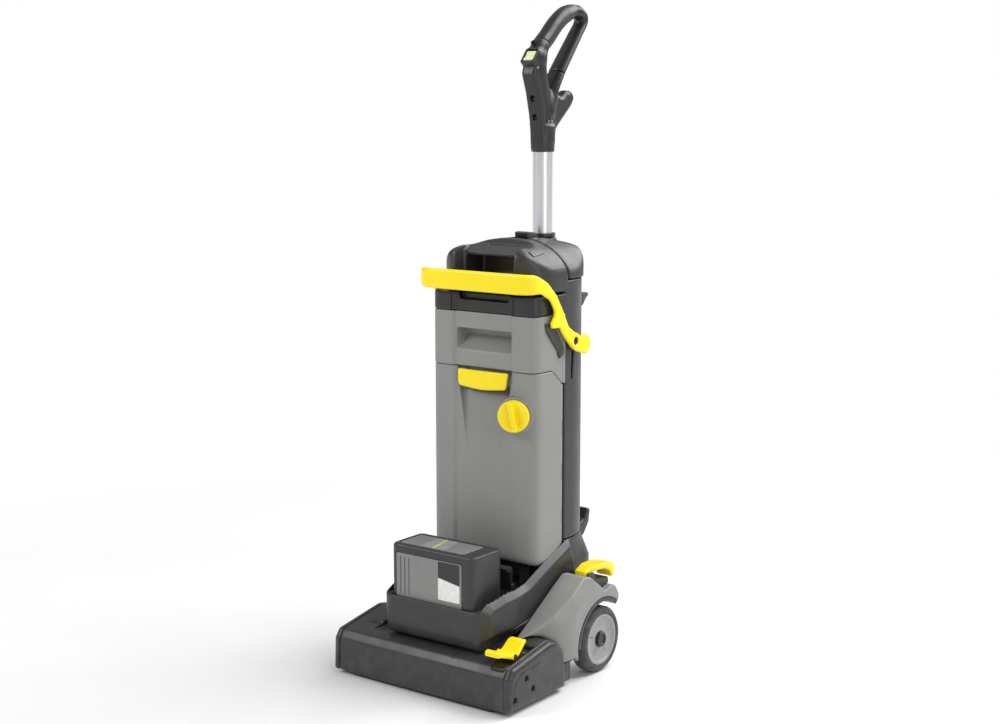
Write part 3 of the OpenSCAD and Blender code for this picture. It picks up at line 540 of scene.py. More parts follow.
def cut(obj, *cutters):
    """Takes cutter objects away from obj and deletes them."""
    for cutter in cutters:
        modifier = obj.modifiers.new("cut", "BOOLEAN")
        modifier.operation = "DIFFERENCE"
        modifier.solver = "EXACT"
        modifier.object = cutter
        bpy.context.view_layer.update()
        settle(obj)
        bpy.data.objects.remove(cutter)
    return obj


def crisp(obj, width=0.8, segments=3, limit=32):
    """Rounds the edges of a prism-built piece and shades it."""
    round_edges(obj, width, segments, limit)
    bpy.context.view_layer.update()
    settle(obj)
    obj.data.shade_smooth()
    return obj


def joined(name, *objects):
    """Several mesh objects made into one."""
    work = bmesh.new()
    for obj in objects:
        bpy.context.view_layer.update()
        piece = obj.data.copy()
        piece.transform(obj.matrix_world)
        work.from_mesh(piece)
        bpy.data.objects.remove(obj)
    mesh = bpy.data.meshes.new(name)
    work.to_mesh(mesh)
    work.free()
    mesh.shade_smooth()
    obj = bpy.data.objects.new(name, mesh)
    scene.collection.objects.link(obj)
    return obj


def lathe(name, profile, centre, axis, segments=96):
    """A (radius, distance) profile turned round an axis through centre; the profile is closed."""
    turn = Vector((0, 0, 1)).rotation_difference(Vector(axis)).to_matrix()
    points, faces = [], []
    count = len(profile)
    for i in range(segments):
        angle = 2 * math.pi * i / segments
        for radius, run in profile:
            local = Vector((radius * math.cos(angle), radius * math.sin(angle), run))
            points.append(Vector(centre) + turn @ local)
        following = (i + 1) % segments
        for k in range(count):
            k2 = (k + 1) % count
            faces.append([i * count + k, following * count + k, following * count + k2,
                          i * count + k2])
    obj = mesh_object(name, [list(p) for p in points], faces)
    tidy_normals(obj)
    return obj


def mirrored(name, obj):
    """A copy of obj on the other side of the machine."""
    mesh = obj.data.copy()
    mesh.transform(Matrix.Scale(-1, 4, (1, 0, 0)))
    mesh.flip_normals()
    copy = bpy.data.objects.new(name, mesh)
    scene.collection.objects.link(copy)
    return copy


# ---------- Tanks, lid and column ----------

CREASE = 55          # the front panel of the tanks lies between upright creases at this |x|
PANEL_DEPTH = 4.5    # how far it lies behind the rounded sides
JOINT_DROP = 23      # the joint between the tanks falls this far towards the back
ARCH_SPRING = 600    # height where the arch of dome and cap leaves the upright sides
DOME_POWER = 1.95    # the dome's arch: 2 is an ellipse, more is squarer
KNOB_X, KNOB_TURN = 63.0, 20


def tank_front():
    return Box("lid_frame").y0 - 1


def tank_outline(back=None, inset=0.0):
    """Plan of the tanks: rounded sides, and a set-back front panel between the creases."""
    box = Box("lid_frame")
    half, front = box.x1 - inset, tank_front() + inset
    back = (box.y1 if back is None else back) - inset
    panel = front + PANEL_DEPTH
    right = [(CREASE - 3, panel, 2), (CREASE + 2, front, 2), (half, front, 34), (half, back)]
    left = [(-p[0], *p[1:]) for p in reversed(right)]
    return rounded(left + right)


def add_fresh_tank():
    box = Box("fresh_tank")
    grip = Box("tank_grip")
    front, back, top = tank_front(), box.y1, box.z1
    panel = front + PANEL_DEPTH
    grid = Grid((box.x0, front - 14, box.z0), (box.x1, back, top), 1.5)
    low_side = rounded([(front, top + 40), (front, box.z0, 28), (-42, box.z0, 12),
                        (back + 0.1, box.z0 + 24, 3), (back + 0.1, top + 40)])
    tank = both(grid.plan(tank_outline()), grid.side(low_side), 11)
    top_side = rounded([(front - 5, box.z0 - 20), (back + 5, box.z0 - 20), (back + 5, top - JOINT_DROP),
                        (back - 8, top - JOINT_DROP, 4), (-44, top, 10), (front - 5, top)])
    tank = both(tank, grid.side(top_side), 1.0)
    # tapered hollow that runs out into the front panel
    taper = rounded([(-54, top + 20), (54, top + 20), (48, grip.z0 + 4, 30),
                     (30, top - 142, 5), (-30, top - 142, 5), (-48, grip.z0 + 4, 30)])
    slope = rounded([(front - 9, top + 20), (panel + 12, top + 20), (panel + 12, grip.z0 - 6, 4),
                     (panel - 0.5, top - 144, 3), (front - 9, top - 160)])
    tank = without(tank, both(grid.front(taper), grid.side(slope), 2), 2.2)
    # finger room behind the grip
    room = rounded([(front - 9, top + 20), (panel + 26, top + 20), (panel + 26, grip.z0 + 2, 6),
                    (panel + 12, grip.z0 - 9, 5), (front - 9, grip.z0 - 9)])
    tank = without(tank, both(grid.side(room), between(grid.x, -45, 45), 5), 2.5)
    # round boss behind the dosing knob
    place, axis = knob_place()
    tank = either(tank, grid.cylinder(place, axis, 28, -30, 6.5, 1.5), 2.5)
    skin = grid.moulding("fresh_tank_skin", tank)
    slots = []
    for z in (top - 91, top - 159, top - 227):
        slots.append(prism("slot", rectangle(back - 10, z - 12, back - 7, z + 12, 1),
                           "x", box.x1 - 4, box.x1 + 5))
    cut(skin, *slots)
    stand_in(skin, "grey_plastic", "fresh_tank", "fresh_tank")


def knob_place():
    """A point on the dosing knob's axis at the tank's skin, and the axis pointing outwards."""
    box = Box("dosing_knob")
    turn = math.radians(KNOB_TURN)
    axis = (math.sin(turn), -math.cos(turn), 0)
    return (KNOB_X, tank_front(), box.z), axis


def add_dosing_knob():
    place, axis = knob_place()
    box = Box("dosing_knob")
    radius = (box.z1 - box.z0) / 2
    grid = Grid((box.x0, box.y0 - 3, box.z0), (box.x1 + 3, box.y1, box.z1), 0.8)
    run, reach = grid.along(place, axis)
    disc = both(reach - radius, between(run, 7.2, 14), 1.6)
    # concave face with a raised pointer bar across it
    face = np.sqrt(reach ** 2 + (run - 14 - 46) ** 2) - 49.5
    disc = without(disc, face, 1.0)
    across = (grid.x - place[0]) * -axis[1] + (grid.y - place[1]) * axis[0]
    lean = math.radians(12)
    side = across * math.cos(lean) + (grid.z - place[2]) * math.sin(lean)
    end = -across * math.sin(lean) + (grid.z - place[2]) * math.cos(lean)
    bar = both(both(np.abs(side) - 4.8 + 0.12 * (run - 10), between(end, -radius + 1.5, radius - 1.5), 2),
               between(run, 8, 21.5), 1.8)
    knob = either(disc, bar, 1.5)
    dot = np.sqrt((side ** 2) + (end + radius - 7) ** 2 + (run - 22) ** 2) - 1.9
    knob = without(knob, dot, 0.3)
    stem = both(reach - 5, between(run, -12, 8))
    skin = grid.moulding("dosing_knob_skin", either(knob, stem))
    stand_in(skin, "yellow_plastic", "dosing_knob", "dosing_knob")


def add_tank_grip():
    box = Box("tank_grip")
    grid = Grid((-53, box.y0 - 2, box.z0 - 3), (53, box.y1 + 3, box.z1 + 3), 1.0)
    shape = rounded([(-47, box.z1 + 1, 3), (47, box.z1 + 1, 3), (44, box.z0 + 1, 5),
                     (0, box.z0 - 3, 60), (-44, box.z0 + 1, 5)])
    bow = (grid.x / 47) ** 2 * 3.0
    y = grid.y - bow
    profile = rounded([(box.y0 + 0.5, box.z0 - 3, 2), (box.y0 - 1, box.z0 + 6, 8),
                       (box.y0 + 0.5, box.z1 + 1, 2.5), (box.y0 + 7, box.z1 + 1, 2),
                       (box.y0 + 4.5, box.z1 - 8, 3), (box.y0 + 4.5, box.z0 - 3, 1.5)])
    plate = both(grid.front(shape), outline_distance(y, grid.z, profile), 1.5)
    pin = grid.cylinder((0, box.y1 - 3, box.z1 - 3), (1, 0, 0), 3, -43, 43, 0.4)
    skin = grid.moulding("tank_grip_skin", either(plate, pin, 1.0))
    stand_in(skin, "yellow_plastic", "tank_grip", "tank_grip")


def add_dirty_tank():
    box = Box("dirty_tank")
    fresh, lid = Box("fresh_tank"), Box("lid_frame")
    front, back = tank_front(), fresh.y1
    low, top = fresh.z1 + 0.9, lid.z0 - 0.9
    grid = Grid((fresh.x0, front, low - JOINT_DROP), (fresh.x1, back, top), 1.5)
    side = rounded([(front - 5, low), (-44, low, 10), (back - 8, low - JOINT_DROP, 4),
                    (back + 5, low - JOINT_DROP), (back + 5, top), (front - 5, top)])
    tank = both(grid.plan(tank_outline()), grid.side(side), 1.2)
    hollow = both(grid.plan(tank_outline(inset=4.5)), between(grid.z, low + 5, top + 20))
    pocket_side = rounded([(front - 9, low + 24), (front + 5, low + 25, 6), (front + 30, low + 47, 3),
                           (front + 30, low + 58, 3), (front - 9, low + 58)])
    pocket = both(between(grid.x, -CREASE + 4, CREASE - 4), grid.side(pocket_side), 3)
    tank = without(without(tank, without(hollow, pocket - 5)), pocket, 1.8)
    skin = grid.moulding("dirty_tank_skin", tank)
    # upright joint line near the back edge
    line = prism("line", [(back - 9, low - 30), (back - 7.8, low - 30), (back - 7.8, low + 42),
                          (back - 9, low + 42)], "x", box.x1 - 6, box.x1 + 5)
    cut(skin, line)
    stand_in(skin, "grey_plastic", "dirty_tank", "dirty_tank")


def add_bail_catches():
    """Dark catches on the sides of the dirty tank, which the bail locks over."""
    half = Box("fresh_tank").x1
    grid = Grid((half - 3, -64, 482), (half + 5, -14, 544), 1.0)
    hook = rounded([(-66, 541, 2), (-50, 541, 3), (-34, 526, 5), (-16, 500, 3), (-15, 488, 3),
                    (-27, 484, 2), (-33, 496, 3), (-50, 514, 4), (-62, 528, 2)])
    body = both(grid.side(hook), between(grid.x, half - 2, half + 2.6), 1.3)
    rib = grid.cylinder((half, -26, 492), (1, 0, 0), 5, -2, 3.2, 1)
    right = grid.moulding("bail_catch_right", either(body, rib, 1.5))
    left = mirrored("bail_catch_left", right)
    for catch in (right, left):
        dress(catch, "dark_plastic", "dirty_tank")


def add_lid():
    box = Box("lid_frame")
    front = tank_front()
    grid = Grid((box.x0, front, box.z0), (box.x1, box.y1, box.z1), 1.0)
    band = both(grid.plan(tank_outline()), between(grid.z, box.z0, box.z1), 1.2)
    notch = rounded([(-44, box.z1 - 10, 2), (44, box.z1 - 10, 2), (50, box.z1 + 4), (-50, box.z1 + 4)])
    finger = both(grid.front(notch), grid.y - (front + 14), 2)
    band = without(band, finger, 1.2)
    # fine lines that part the corner posts from the front panel
    for x in (-CREASE - 3, CREASE + 3):
        band = without(band, both(np.abs(grid.x - x) - 0.6, grid.y - (front + PANEL_DEPTH + 1)))
    skin = grid.moulding("lid_frame_skin", band)
    stand_in(skin, "black_plastic", "lid", "lid_frame")


def arch(half, base, height, power=1.75, steps=30):
    """Half a superellipse in (x, z), closed along its base."""
    line = []
    for i in range(steps + 1):
        angle = math.pi * i / steps
        c, s = math.cos(angle), math.sin(angle)
        line.append((math.copysign(half * abs(c) ** (2 / power), c), base + height * s ** (2 / power)))
    return line


def add_dome():
    """Hood with a wide open channel: a cross rib over the mouth and a sloping scoop behind it."""
    box = Box("dome_cover")
    front, back, base, top = tank_front(), box.y1, box.z0, box.z1
    spring, half = ARCH_SPRING, box.x1
    grid = Grid((box.x0, front, base), (box.x1, back, top), 1.4)
    outline = arch(half, spring, top - spring, DOME_POWER) + [(-half, base), (half, base)]
    profile = rounded([(front, base), (front, 628, 26), (front + 12, 652, 18), (front + 30, top - 1, 20),
                       (-20, top + 1), (back, top + 2), (back, base)])
    dome = both(both(grid.front(outline), grid.side(profile), 10),
                grid.plan(arc_plan(half, front, back, 62, 0.5)), 6)
    dome = both(dome, base - grid.z, 1)
    rib = -60            # front of the cross rib
    channel = rounded([(front - 9, base + 4), (rib, base + 6, 8), (rib, 641, 1.5), (-24, 652, 8),
                       (-14, 664, 3), (-14, 700), (front - 9, 700)])
    width = np.abs(grid.x) - np.interp(grid.y, [front, rib, -24], [55, 54, 60])
    dome = without(dome, both(grid.side(channel), width, 5), 2.0)
    mouth = rounded([(rib - 9, base + 7), (-34, base + 9, 12), (-16, 604, 10), (-16, 634, 4),
                     (rib - 9, 635.5)])
    dome = without(dome, both(grid.side(mouth), np.abs(grid.x) - 51, 5), 1.0)
    slot = grid.block((-29, -32, 646), (29, -27, 690), 1)
    dome = without(dome, slot, 0.5)
    # curved joint line on the sides
    line = [(5, 615.8), (-10, 611.9), (-28, 603.9), (-45, 591.6), (-54, 578), (-52.4, 578),
            (-43.8, 590.2), (-27, 602.3), (-10, 610.1), (5, 614)]
    dome = without(dome, both(grid.side(line), half - 1.6 - np.abs(grid.x)), 0.2)
    skin = grid.moulding("dome_skin", dome)
    stand_in(skin, "dark_plastic", "lid", "dome_cover")


def add_dome_tab():
    """Small release flap on the inner edge of the dome's right side."""
    box = Box("dome_cover")
    grid = Grid((58, -66, 628), (82, -24, 662), 0.8)
    plan = rounded([(66, -62, 2), (77, -62, 2), (73, -28, 2), (62, -28, 2)])
    line = np.array(arch(box.x1, ARCH_SPRING, box.z1 - ARCH_SPRING, DOME_POWER))
    order = np.argsort(line[:, 0])
    height = np.interp(grid.x, line[order, 0], line[order, 1]).astype(np.float32)
    slope = np.abs(grid.z - height + 0.4) * 0.8 - 1.5
    skin = grid.moulding("dome_tab", both(grid.plan(plan), slope, 0.8))
    dress(skin, "black_plastic", "lid")


def column_outline(box, inset=0.0):
    return arc_plan(box.x1 - inset, box.y0 + inset, box.y1 - inset, 0.5, 80 - inset)


def add_column():
    box = Box("column_shell")
    grid = Grid((box.x0, box.y0, box.z0), (box.x1, box.y1, box.z1), 2.0)
    shell = both(grid.plan(column_outline(box)), between(grid.z, box.z0 + 0.6, box.z1), 1.4)
    shell = without(shell, grid.plan(column_outline(box, 3)))
    skin = grid.moulding("column_skin", shell)
    edge = box.x1 - 6
    cutters = []
    for side in (-1, 1):
        low, high = sorted((side * edge, side * (box.x1 + 5)))
        cutters.append(prism("slot", rounded([(8, 450, 2), (13, 446, 2), (17, 492, 2), (10, 492, 2)]),
                             "x", low, high))
    cut(skin, *cutters)
    stand_in(skin, "dark_plastic", "upper", "column_shell")


def add_column_cap():
    box, shell = Box("column_cap"), Box("column_shell")
    grid = Grid((box.x0 - 1, box.y0, box.z0), (box.x1 + 1, box.y1, box.z1 + 2), 1.5)
    half, spring, top = shell.x1, ARCH_SPRING, Box("dome_cover").z1
    profile = rounded([(box.y0, box.z0 - 30), (box.y0, top + 1), (40, top - 1, 30), (82, 648, 24),
                       (box.y1 + 1, 628, 5), (box.y1 - 1, 616, 4), (shell.y1, box.z0),
                       (shell.y1, box.z0 - 30)])
    outline = arch(half, spring, top - spring) + [(-half, box.z0 - 30), (half, box.z0 - 30)]
    plan = arc_plan(half, box.y0, box.y1 + 1, 0.5, 78)
    cap = both(both(grid.front(outline), grid.side(profile), 7), grid.plan(plan), 5)
    cap = both(cap, box.z0 + 0.4 - grid.z, 1)
    inner = both(grid.plan(column_outline(shell, 4)), box.z1 - 8 - grid.z - 6)
    cap = without(cap, both(inner, both(grid.side(profile), grid.front(outline)) + 4))
    tube = Box("tube")
    cap = without(cap, grid.reach((tube.x, tube.y, box.z0), UP) - 20.6)
    # seat of the clamp lever
    cap = without(cap, grid.block((-14, 6, 652), (14, 50, 690), 2), 1)
    skin = grid.moulding("column_cap_skin", cap)
    stand_in(skin, "dark_plastic", "upper", "column_cap")


def add_column_base():
    box, shell = Box("column_base"), Box("column_shell")
    grid = Grid((box.x0 - 2, box.y0, box.z0), (box.x1 + 2, box.y1, box.z1 + 8), 1.5)
    profile = rounded([(box.y0, box.z0 + 0.4), (box.y0, shell.z0 - 0.6), (shell.y1 + 1, shell.z0 - 0.6, 3),
                       (shell.y1 - 2, 178, 14), (shell.y1 + 2, 150, 12), (80, box.z0 + 0.4)])
    flare = np.clip((198 - grid.z) / 40, 0, 1)
    wide = arc_plan(shell.x1, shell.y0, shell.y1, 0.5, 42)
    plan = grid.plan(column_outline(shell)) * (1 - flare) + grid.plan(wide) * flare
    foot = both(plan, grid.side(profile), 2.5)
    foot = without(foot, both(grid.plan(column_outline(shell, 4)), box.z0 + 5 - grid.z))
    hook = rounded([(shell.y1 - 8, 168), (112, 172, 20), (128, 192, 8), (box.y1 + 1, 214, 4),
                    (124, 217, 3), (116, 200, 8), (shell.y1 - 8, 190)])
    horn = both(grid.side(hook), np.abs(grid.x) - Box("cable_hook").x1, 3)
    skin = grid.moulding("column_base_skin", either(foot, horn, 5))
    stand_in(skin, "dark_plastic", "upper", "column_base")


def add_cable_hook():
    box = Box("cable_hook")
    grid = Grid((box.x0 - 2, box.y0 - 1, box.z0), (box.x1 + 2, box.y1 + 1, box.z1), 0.9)
    y = Box("column_shell").y1 + 0.8
    blade = rounded([(y, 550, 2), (y, 571, 1.5), (102, 568, 8), (box.y1 - 3, 566.5, 1.5),
                     (box.y1 + 0.5, 562, 2), (118, 558, 12), (104, 546, 10)])
    # narrow at the root, so that the turned hook clears the cap
    width = np.interp(grid.y, [98, 99, 104, 128], [36, box.x1, box.x1, box.x1 - 4])
    hook = both(grid.side(blade), np.abs(grid.x) - width, 1.6)
    pin = grid.cylinder((0, 89, 561), (0, 1, 0), 5.9, 0, 8, 0.3)
    skin = grid.moulding("cable_hook_skin", either(hook, pin, 0.8))
    stand_in(skin, "dark_plastic", "cable_hook", "cable_hook")


def add_clamp():
    """Lever that clamps the handle tube, high at its finger end, and the ring round the tube."""
    box, tube = Box("tube_latch"), Box("tube")
    low, top = box.z0, box.z1
    grid = Grid((box.x0 - 1, box.y0, low), (box.x1 + 1, box.y1, top + 1), 0.7)
    side = rounded([(box.y0 + 1, low + 1.5, 1), (box.y0, top - 0.5, 1.2), (box.y0 + 9, top, 3),
                    (box.y0 + 20, top - 3.5, 8), (box.y1, low + 4, 1.5), (box.y1, low, 1), (30, low, 2)])
    width = 12 - np.clip((grid.y - 20) / 30, 0, 1) * 3
    lever = both(grid.side(side), np.abs(grid.x) - width, 1.1)
    skin = grid.moulding("tube_latch_skin", lever, 1)
    stand_in(skin, "black_plastic", "tube_latch", "tube_latch")
    ring = rounded([(16, 648), (22.6, 648, 1), (22.2, 653.5, 1.5), (18.5, 655.5, 1), (16.4, 654, 0.5)])
    collar = lathe("tube_collar", ring, (tube.x, tube.y, 0), (0, 0, 1), 96)
    dress(collar, "black_plastic", "upper")


# ---------- Bail and handle ----------

def add_bail():
    """Carrying bail: a bowed bar across the front on two shaped side arms."""
    grid = Grid((-110, -118, 480), (110, 48, 618), 1.4)
    pivot = Box("bail_pins")
    bore = (pivot.z1 - pivot.z0) / 2
    outer = rounded([(-109.5, -114, 34), (109.5, -114, 34), (109.5, 70), (-109.5, 70)], 12)
    inner = rounded([(-102.5, -99, 24), (102.5, -99, 24), (102.5, 90), (-102.5, 90)], 12)
    band = without(grid.plan(outer), grid.plan(inner))
    arm = rounded([(-118, 587, 3), (-118, 616, 4), (-92, 614, 20), (-68, 602, 30), (-46, 582, 30),
                   (-28, 556, 30), (-14, 532, 12), (4, 521, 8), (18, 514, 6), (32, 517, 5),
                   (44, 509, 5), (46, 496, 5), (34, 484, 4), (22, 487, 8), (6, 492, 8),
                   (-12, 505, 10), (-30, 523, 3), (-36, 532, 3), (-57, 533, 2), (-59, 541, 2),
                   (-47, 556, 12), (-62, 576, 24), (-84, 587, 14)], 8)
    bail = both(band, grid.side(arm), 3.4)
    # fuller bar across the front
    bar = both(both(grid.plan(outer), -grid.plan(inner) - 1.5), grid.side(
        rounded([(-116, 587), (-116, 616), (-94, 615, 4), (-94, 588, 4)])), 5)
    bail = either(bail, bar, 3)
    # shallow trough along the inside of each arm, with ribs left standing in it
    trough = both(outline_distance(grid.y, grid.z, rounded(arm_core())),
                  between(np.abs(grid.x), 98, 105.2), 0.8)
    ribs = both(np.abs(np.mod(grid.y + 86, 14) - 7) - 0.9, grid.y - 4)
    bail = without(bail, without(trough, ribs), 0.6)
    boss = both(grid.reach((0, pivot.y, pivot.z)) - 12,
                between(np.abs(grid.x), 102.5, 109.5), 1.5)
    bail = either(bail, boss, 2)
    bail = without(bail, grid.reach((0, pivot.y, pivot.z)) - bore - 0.3, 0.6)
    skin = grid.moulding("bail_skin", bail)
    stand_in(skin, "yellow_plastic", "bail", "bail")


def add_bail_pins():
    pin = Box("bail_pins")
    radius = (pin.z1 - pin.z0) / 2 - 0.3
    profile = rounded([(0.01, 92), (radius, 92), (radius, 108.6, 0.8), (4, 108.6, 0.6),
                       (3, 106.5, 0.5), (0.01, 106.5)])
    right = lathe("bail_pin_right", profile, (0, pin.y, pin.z), (1, 0, 0), 48)
    left = mirrored("bail_pin_left", right)
    skin = joined("bail_pins_skin", right, left)
    stand_in(skin, "black_plastic", "upper", "bail_pins")


def arm_core():
    return [(-86, 600, 4), (-70, 592, 8), (-54, 578, 10), (-36, 554, 10), (-20, 530, 6),
            (-10, 522, 4), (-14, 512, 4), (-28, 528, 6), (-42, 550, 10), (-56, 572, 10),
            (-72, 586, 8), (-88, 592, 3)]


def spine(points):
    """A smooth line in the plane x = 0 through (y, z) points."""
    return smooth_line([(0, *p) for p in points], 6)


def add_handle():
    """Loop handle: neck, round soft grip in front and a flat spar behind."""
    box, tube, rocker = Box("handle_shell"), Box("tube"), Box("power_rocker")
    grid = Grid((-19, 24, box.z0), (19, box.y1 + 2, box.z1 + 1), 1.1)
    collar = grid.cylinder((0, tube.y, box.z0), (0, 0, 1), 18.2, 0.3, 40, 1.5)
    neck = grid.tube(spine([(tube.y, 806), (68, 846), (61, 878), (53, 905), (51, 930)]),
                     np.linspace(17, 16.6, 26), 1.06)
    grip = grid.tube(spine([(51, 930), (62, 948), (80, 963), (100, 981), (121, 995), (143, 1003),
                            (159, 1004), (171, 998)]),
                     np.interp(np.arange(44), [0, 8, 26, 34, 43], [15, 13.6, 13.4, 10, 7.4]), 0.98)
    spar = grid.tube(spine([(159, 1004), (171, 998), (173, 987), (157, 968), (140, 948), (122, 927),
                            (104, 905), (86, 878), (76, 850)]),
                     np.interp(np.arange(50), [0, 10, 34, 49], [7.4, 6.4, 7.6, 9]), 0.5)
    shell = either(either(either(collar, neck, 6), grip, 5), spar, 7)
    # hook behind the neck for the charger cord
    hook = rounded([(74, 800, 10), (100, 826, 14), (136, 855, 12), (147, 868, 8), (140, 881, 8),
                    (124, 882, 8), (110, 872, 10), (96, 878, 12), (76, 862)], 6)
    shell = either(shell, both(grid.side(hook), np.abs(grid.x) - 11.5 + (grid.y - 70) * 0.02, 8.5), 7)
    shell = without(shell, both(grid.reach((0, tube.y, 0), UP) - 15.5, grid.z - 838.5))
    # raised neck panel with a step round it
    depth = np.interp(grid.z, [788, 812, 845, 878, 905, 918], [53.5, 52.5, 47.5, 39, 29, 31]) - grid.y
    panel = both(both(np.abs(grid.x) - 13.5, between(grid.z, 790, 917), 4), both(depth, grid.y - 60), 6)
    shell = either(shell, panel, 2.5)
    shell = without(shell, screw_pockets(grid), 0.7)
    # bezel and seat of the rocker
    run, across = tilted(grid, (rocker.y, rocker.z), 50)
    bezel = both(both(np.abs(across) - 14.5, np.abs(grid.x) - 12.5, 4), between(run, -9, 4.6), 1.6)
    shell = either(shell, bezel, 3)
    shell = without(shell, both(both(np.abs(across) - 11.8, np.abs(grid.x) - 9.6, 1),
                                -5.6 - run), 0.8)
    seam = both(np.abs(along_grip(grid)) - 0.8, -grip - 1.0)
    shell = without(shell, seam, 0.3)
    skin = grid.moulding("handle_skin", shell)
    stand_in(skin, "black_plastic", "handle", "handle_shell")


def tilted(grid, place, angle):
    """Runs outwards from, and up the slope of, a face tilted back by an angle."""
    lean = math.radians(angle)
    y, z = grid.y - place[0], grid.z - place[1]
    up_y, up_z = math.cos(lean), math.sin(lean)
    return y * -up_z + z * up_y, y * up_y + z * up_z


def along_grip(grid):
    """Distance past the seam where the soft grip ends."""
    lean = math.radians(42)
    return (grid.y - 66) * math.cos(lean) + (grid.z - 951) * math.sin(lean)


def screw_pockets(grid):
    field = None
    for y, z, tilt in ((48, 868, 80), (54, 840, 84), (44, 953, 55)):
        lean = math.radians(tilt)
        pocket = grid.cylinder((0, y, z), (0, -math.sin(lean), math.cos(lean)), 4.6, -0.8, 30)
        field = pocket if field is None else np.minimum(field, pocket)
    return field


def add_rocker():
    box = Box("power_rocker")
    grid = Grid((box.x0, box.y0 - 1, box.z0 - 1), (box.x1, box.y1 + 1, box.z1 + 1), 0.6)
    run, across = tilted(grid, (box.y, box.z), 50)
    dish = np.interp(across, [-10, 0, 10], [4.6, 2.4, 3.6])
    key = both(both(np.abs(across) - 9.2, np.abs(grid.x) - 8.6, 1.2), run - dish, 1.0)
    key = both(key, -6 - run)
    skin = grid.moulding("power_rocker_skin", key)
    stand_in(skin, "rocker", "power_rocker", "power_rocker")


# ---------- Tray, arms and battery ----------

def add_lower_frame():
    """Battery tray, side arms and pivot legs in one moulding."""
    box, battery = Box("lower_frame"), Box("battery_case")
    latch = Box("battery_latch")
    front, back, rim = box.y0, -94, 131.5
    grid = Grid((box.x0, box.y0, box.z0), (box.x1, box.y1, box.z1), 1.5)
    tray_plan = rounded([(-88, front, 13), (88, front, 13), (96, back), (-96, back)])
    tray_side = rounded([(front + 5, 72, 6), (front + 1, 90, 30), (front, rim), (back, rim),
                         (back, 90), (-150, 76, 20)])
    tray = both(grid.plan(tray_plan), grid.side(tray_side), 3)
    outline = rounded([(front + 4, 82, 8), (front + 3, 136, 4), (-194, 145, 30), (-165, 152.5, 30),
                       (-116, 160, 30), (-70, 179.5, 50), (-8, 203, 30), (5, 205, 2), (30, 124, 2),
                       (17, 60, 12), (10, 36, 12), (-10, 36, 14), (-18, 70, 20), (-30, 104, 30),
                       (-83, 104, 30), (-109, 90, 30), (-196, 80, 20)], 10)
    side = grid.side(outline)
    lean = np.clip((grid.y + 196) / 60, 0, 1)
    outer = np.abs(grid.x) - (100 + 9 * lean * lean * (3 - 2 * lean))
    arms = both(bevelled(outer, side, 14), (98.6 - 11 * (1 - lean)) - np.abs(grid.x))
    frame_field = either(arms, tray, 4)
    # battery well
    well = rectangle(battery.x0 - 0.6, battery.y0 - 0.6, battery.x1 + 0.6, battery.y1 + 0.6, 8)
    frame_field = without(frame_field, both(grid.plan(well), battery.z0 - 0.2 - grid.z), 0.8)
    pocket = grid.block((-75, battery.y1 + 6, battery.z0), (75, back - 6, rim + 20), 4)
    frame_field = without(frame_field, pocket, 0.8)
    # cross wall, shelf with hose passage, and rests under the fresh tank
    wall_field = grid.block((-100, back, 100), (100, back + 3.5, 139), 0.8)
    shelf = without(grid.block((-100, back, 120), (100, 30, 124), 0.6),
                    grid.reach((45, 36, 0), UP) - 20)
    frame_field = either(frame_field, either(wall_field, shelf, 1.5), 2)
    for x in (-70, 50):
        rest = grid.block((x, -61, 121), (x + 20, -41, Box("fresh_tank").z0 - 0.4), 1)
        frame_field = either(frame_field, rest, 1.5)
    hinge = latch.y0 + (latch.y1 - latch.y0) * 0.78
    for x in (46, 75):
        lug = grid.block((x, hinge - 5, 124), (x + 3, hinge + 5, 152), 0.8)
        frame_field = either(frame_field, lug, 1)
    deck = grid.block((40, hinge - 7, 124), (84, back, 131), 0.5)
    pin = grid.cylinder((46, hinge, 147), (1, 0, 0), 1.5, 0, 32)
    frame_field = either(frame_field, np.minimum(deck, pin), 0.5)
    frame_field = without(frame_field, grid.reach((0, 0, AXLE_Z)) - 9.1, 0.6)
    skin = grid.moulding("lower_frame_skin", frame_field)
    stand_in(skin, "dark_plastic", "upper", "lower_frame")


def add_battery():
    case = Box("battery_case")
    grid = Grid((case.x0, case.y0, case.z0), (case.x1, case.y1, case.z1), 1.2)
    plan = rectangle(case.x0, case.y0, case.x1, case.y1, 11)
    body = both(grid.plan(plan), between(grid.z, case.z0, case.z1), 5)
    front_seat = both(both(between(grid.x, case.x0 + 9.6, 53), between(grid.z, 128, 198), 3),
                      grid.y - case.y0 - 2.4)
    top_seat = both(both(between(grid.x, case.x0 + 8, 49), between(grid.y, case.y0 + 10, case.y1 - 10),
                         5), case.z1 - 2.4 - grid.z)
    body = without(body, np.minimum(front_seat, top_seat), 0.8)
    inner = both(grid.plan(plan) + 5, between(grid.z, case.z0 + 4, case.z1 - 6))
    skin = grid.moulding("battery_case_skin", without(body, inner))
    stand_in(skin, "dark_plastic", "battery", "battery_case")


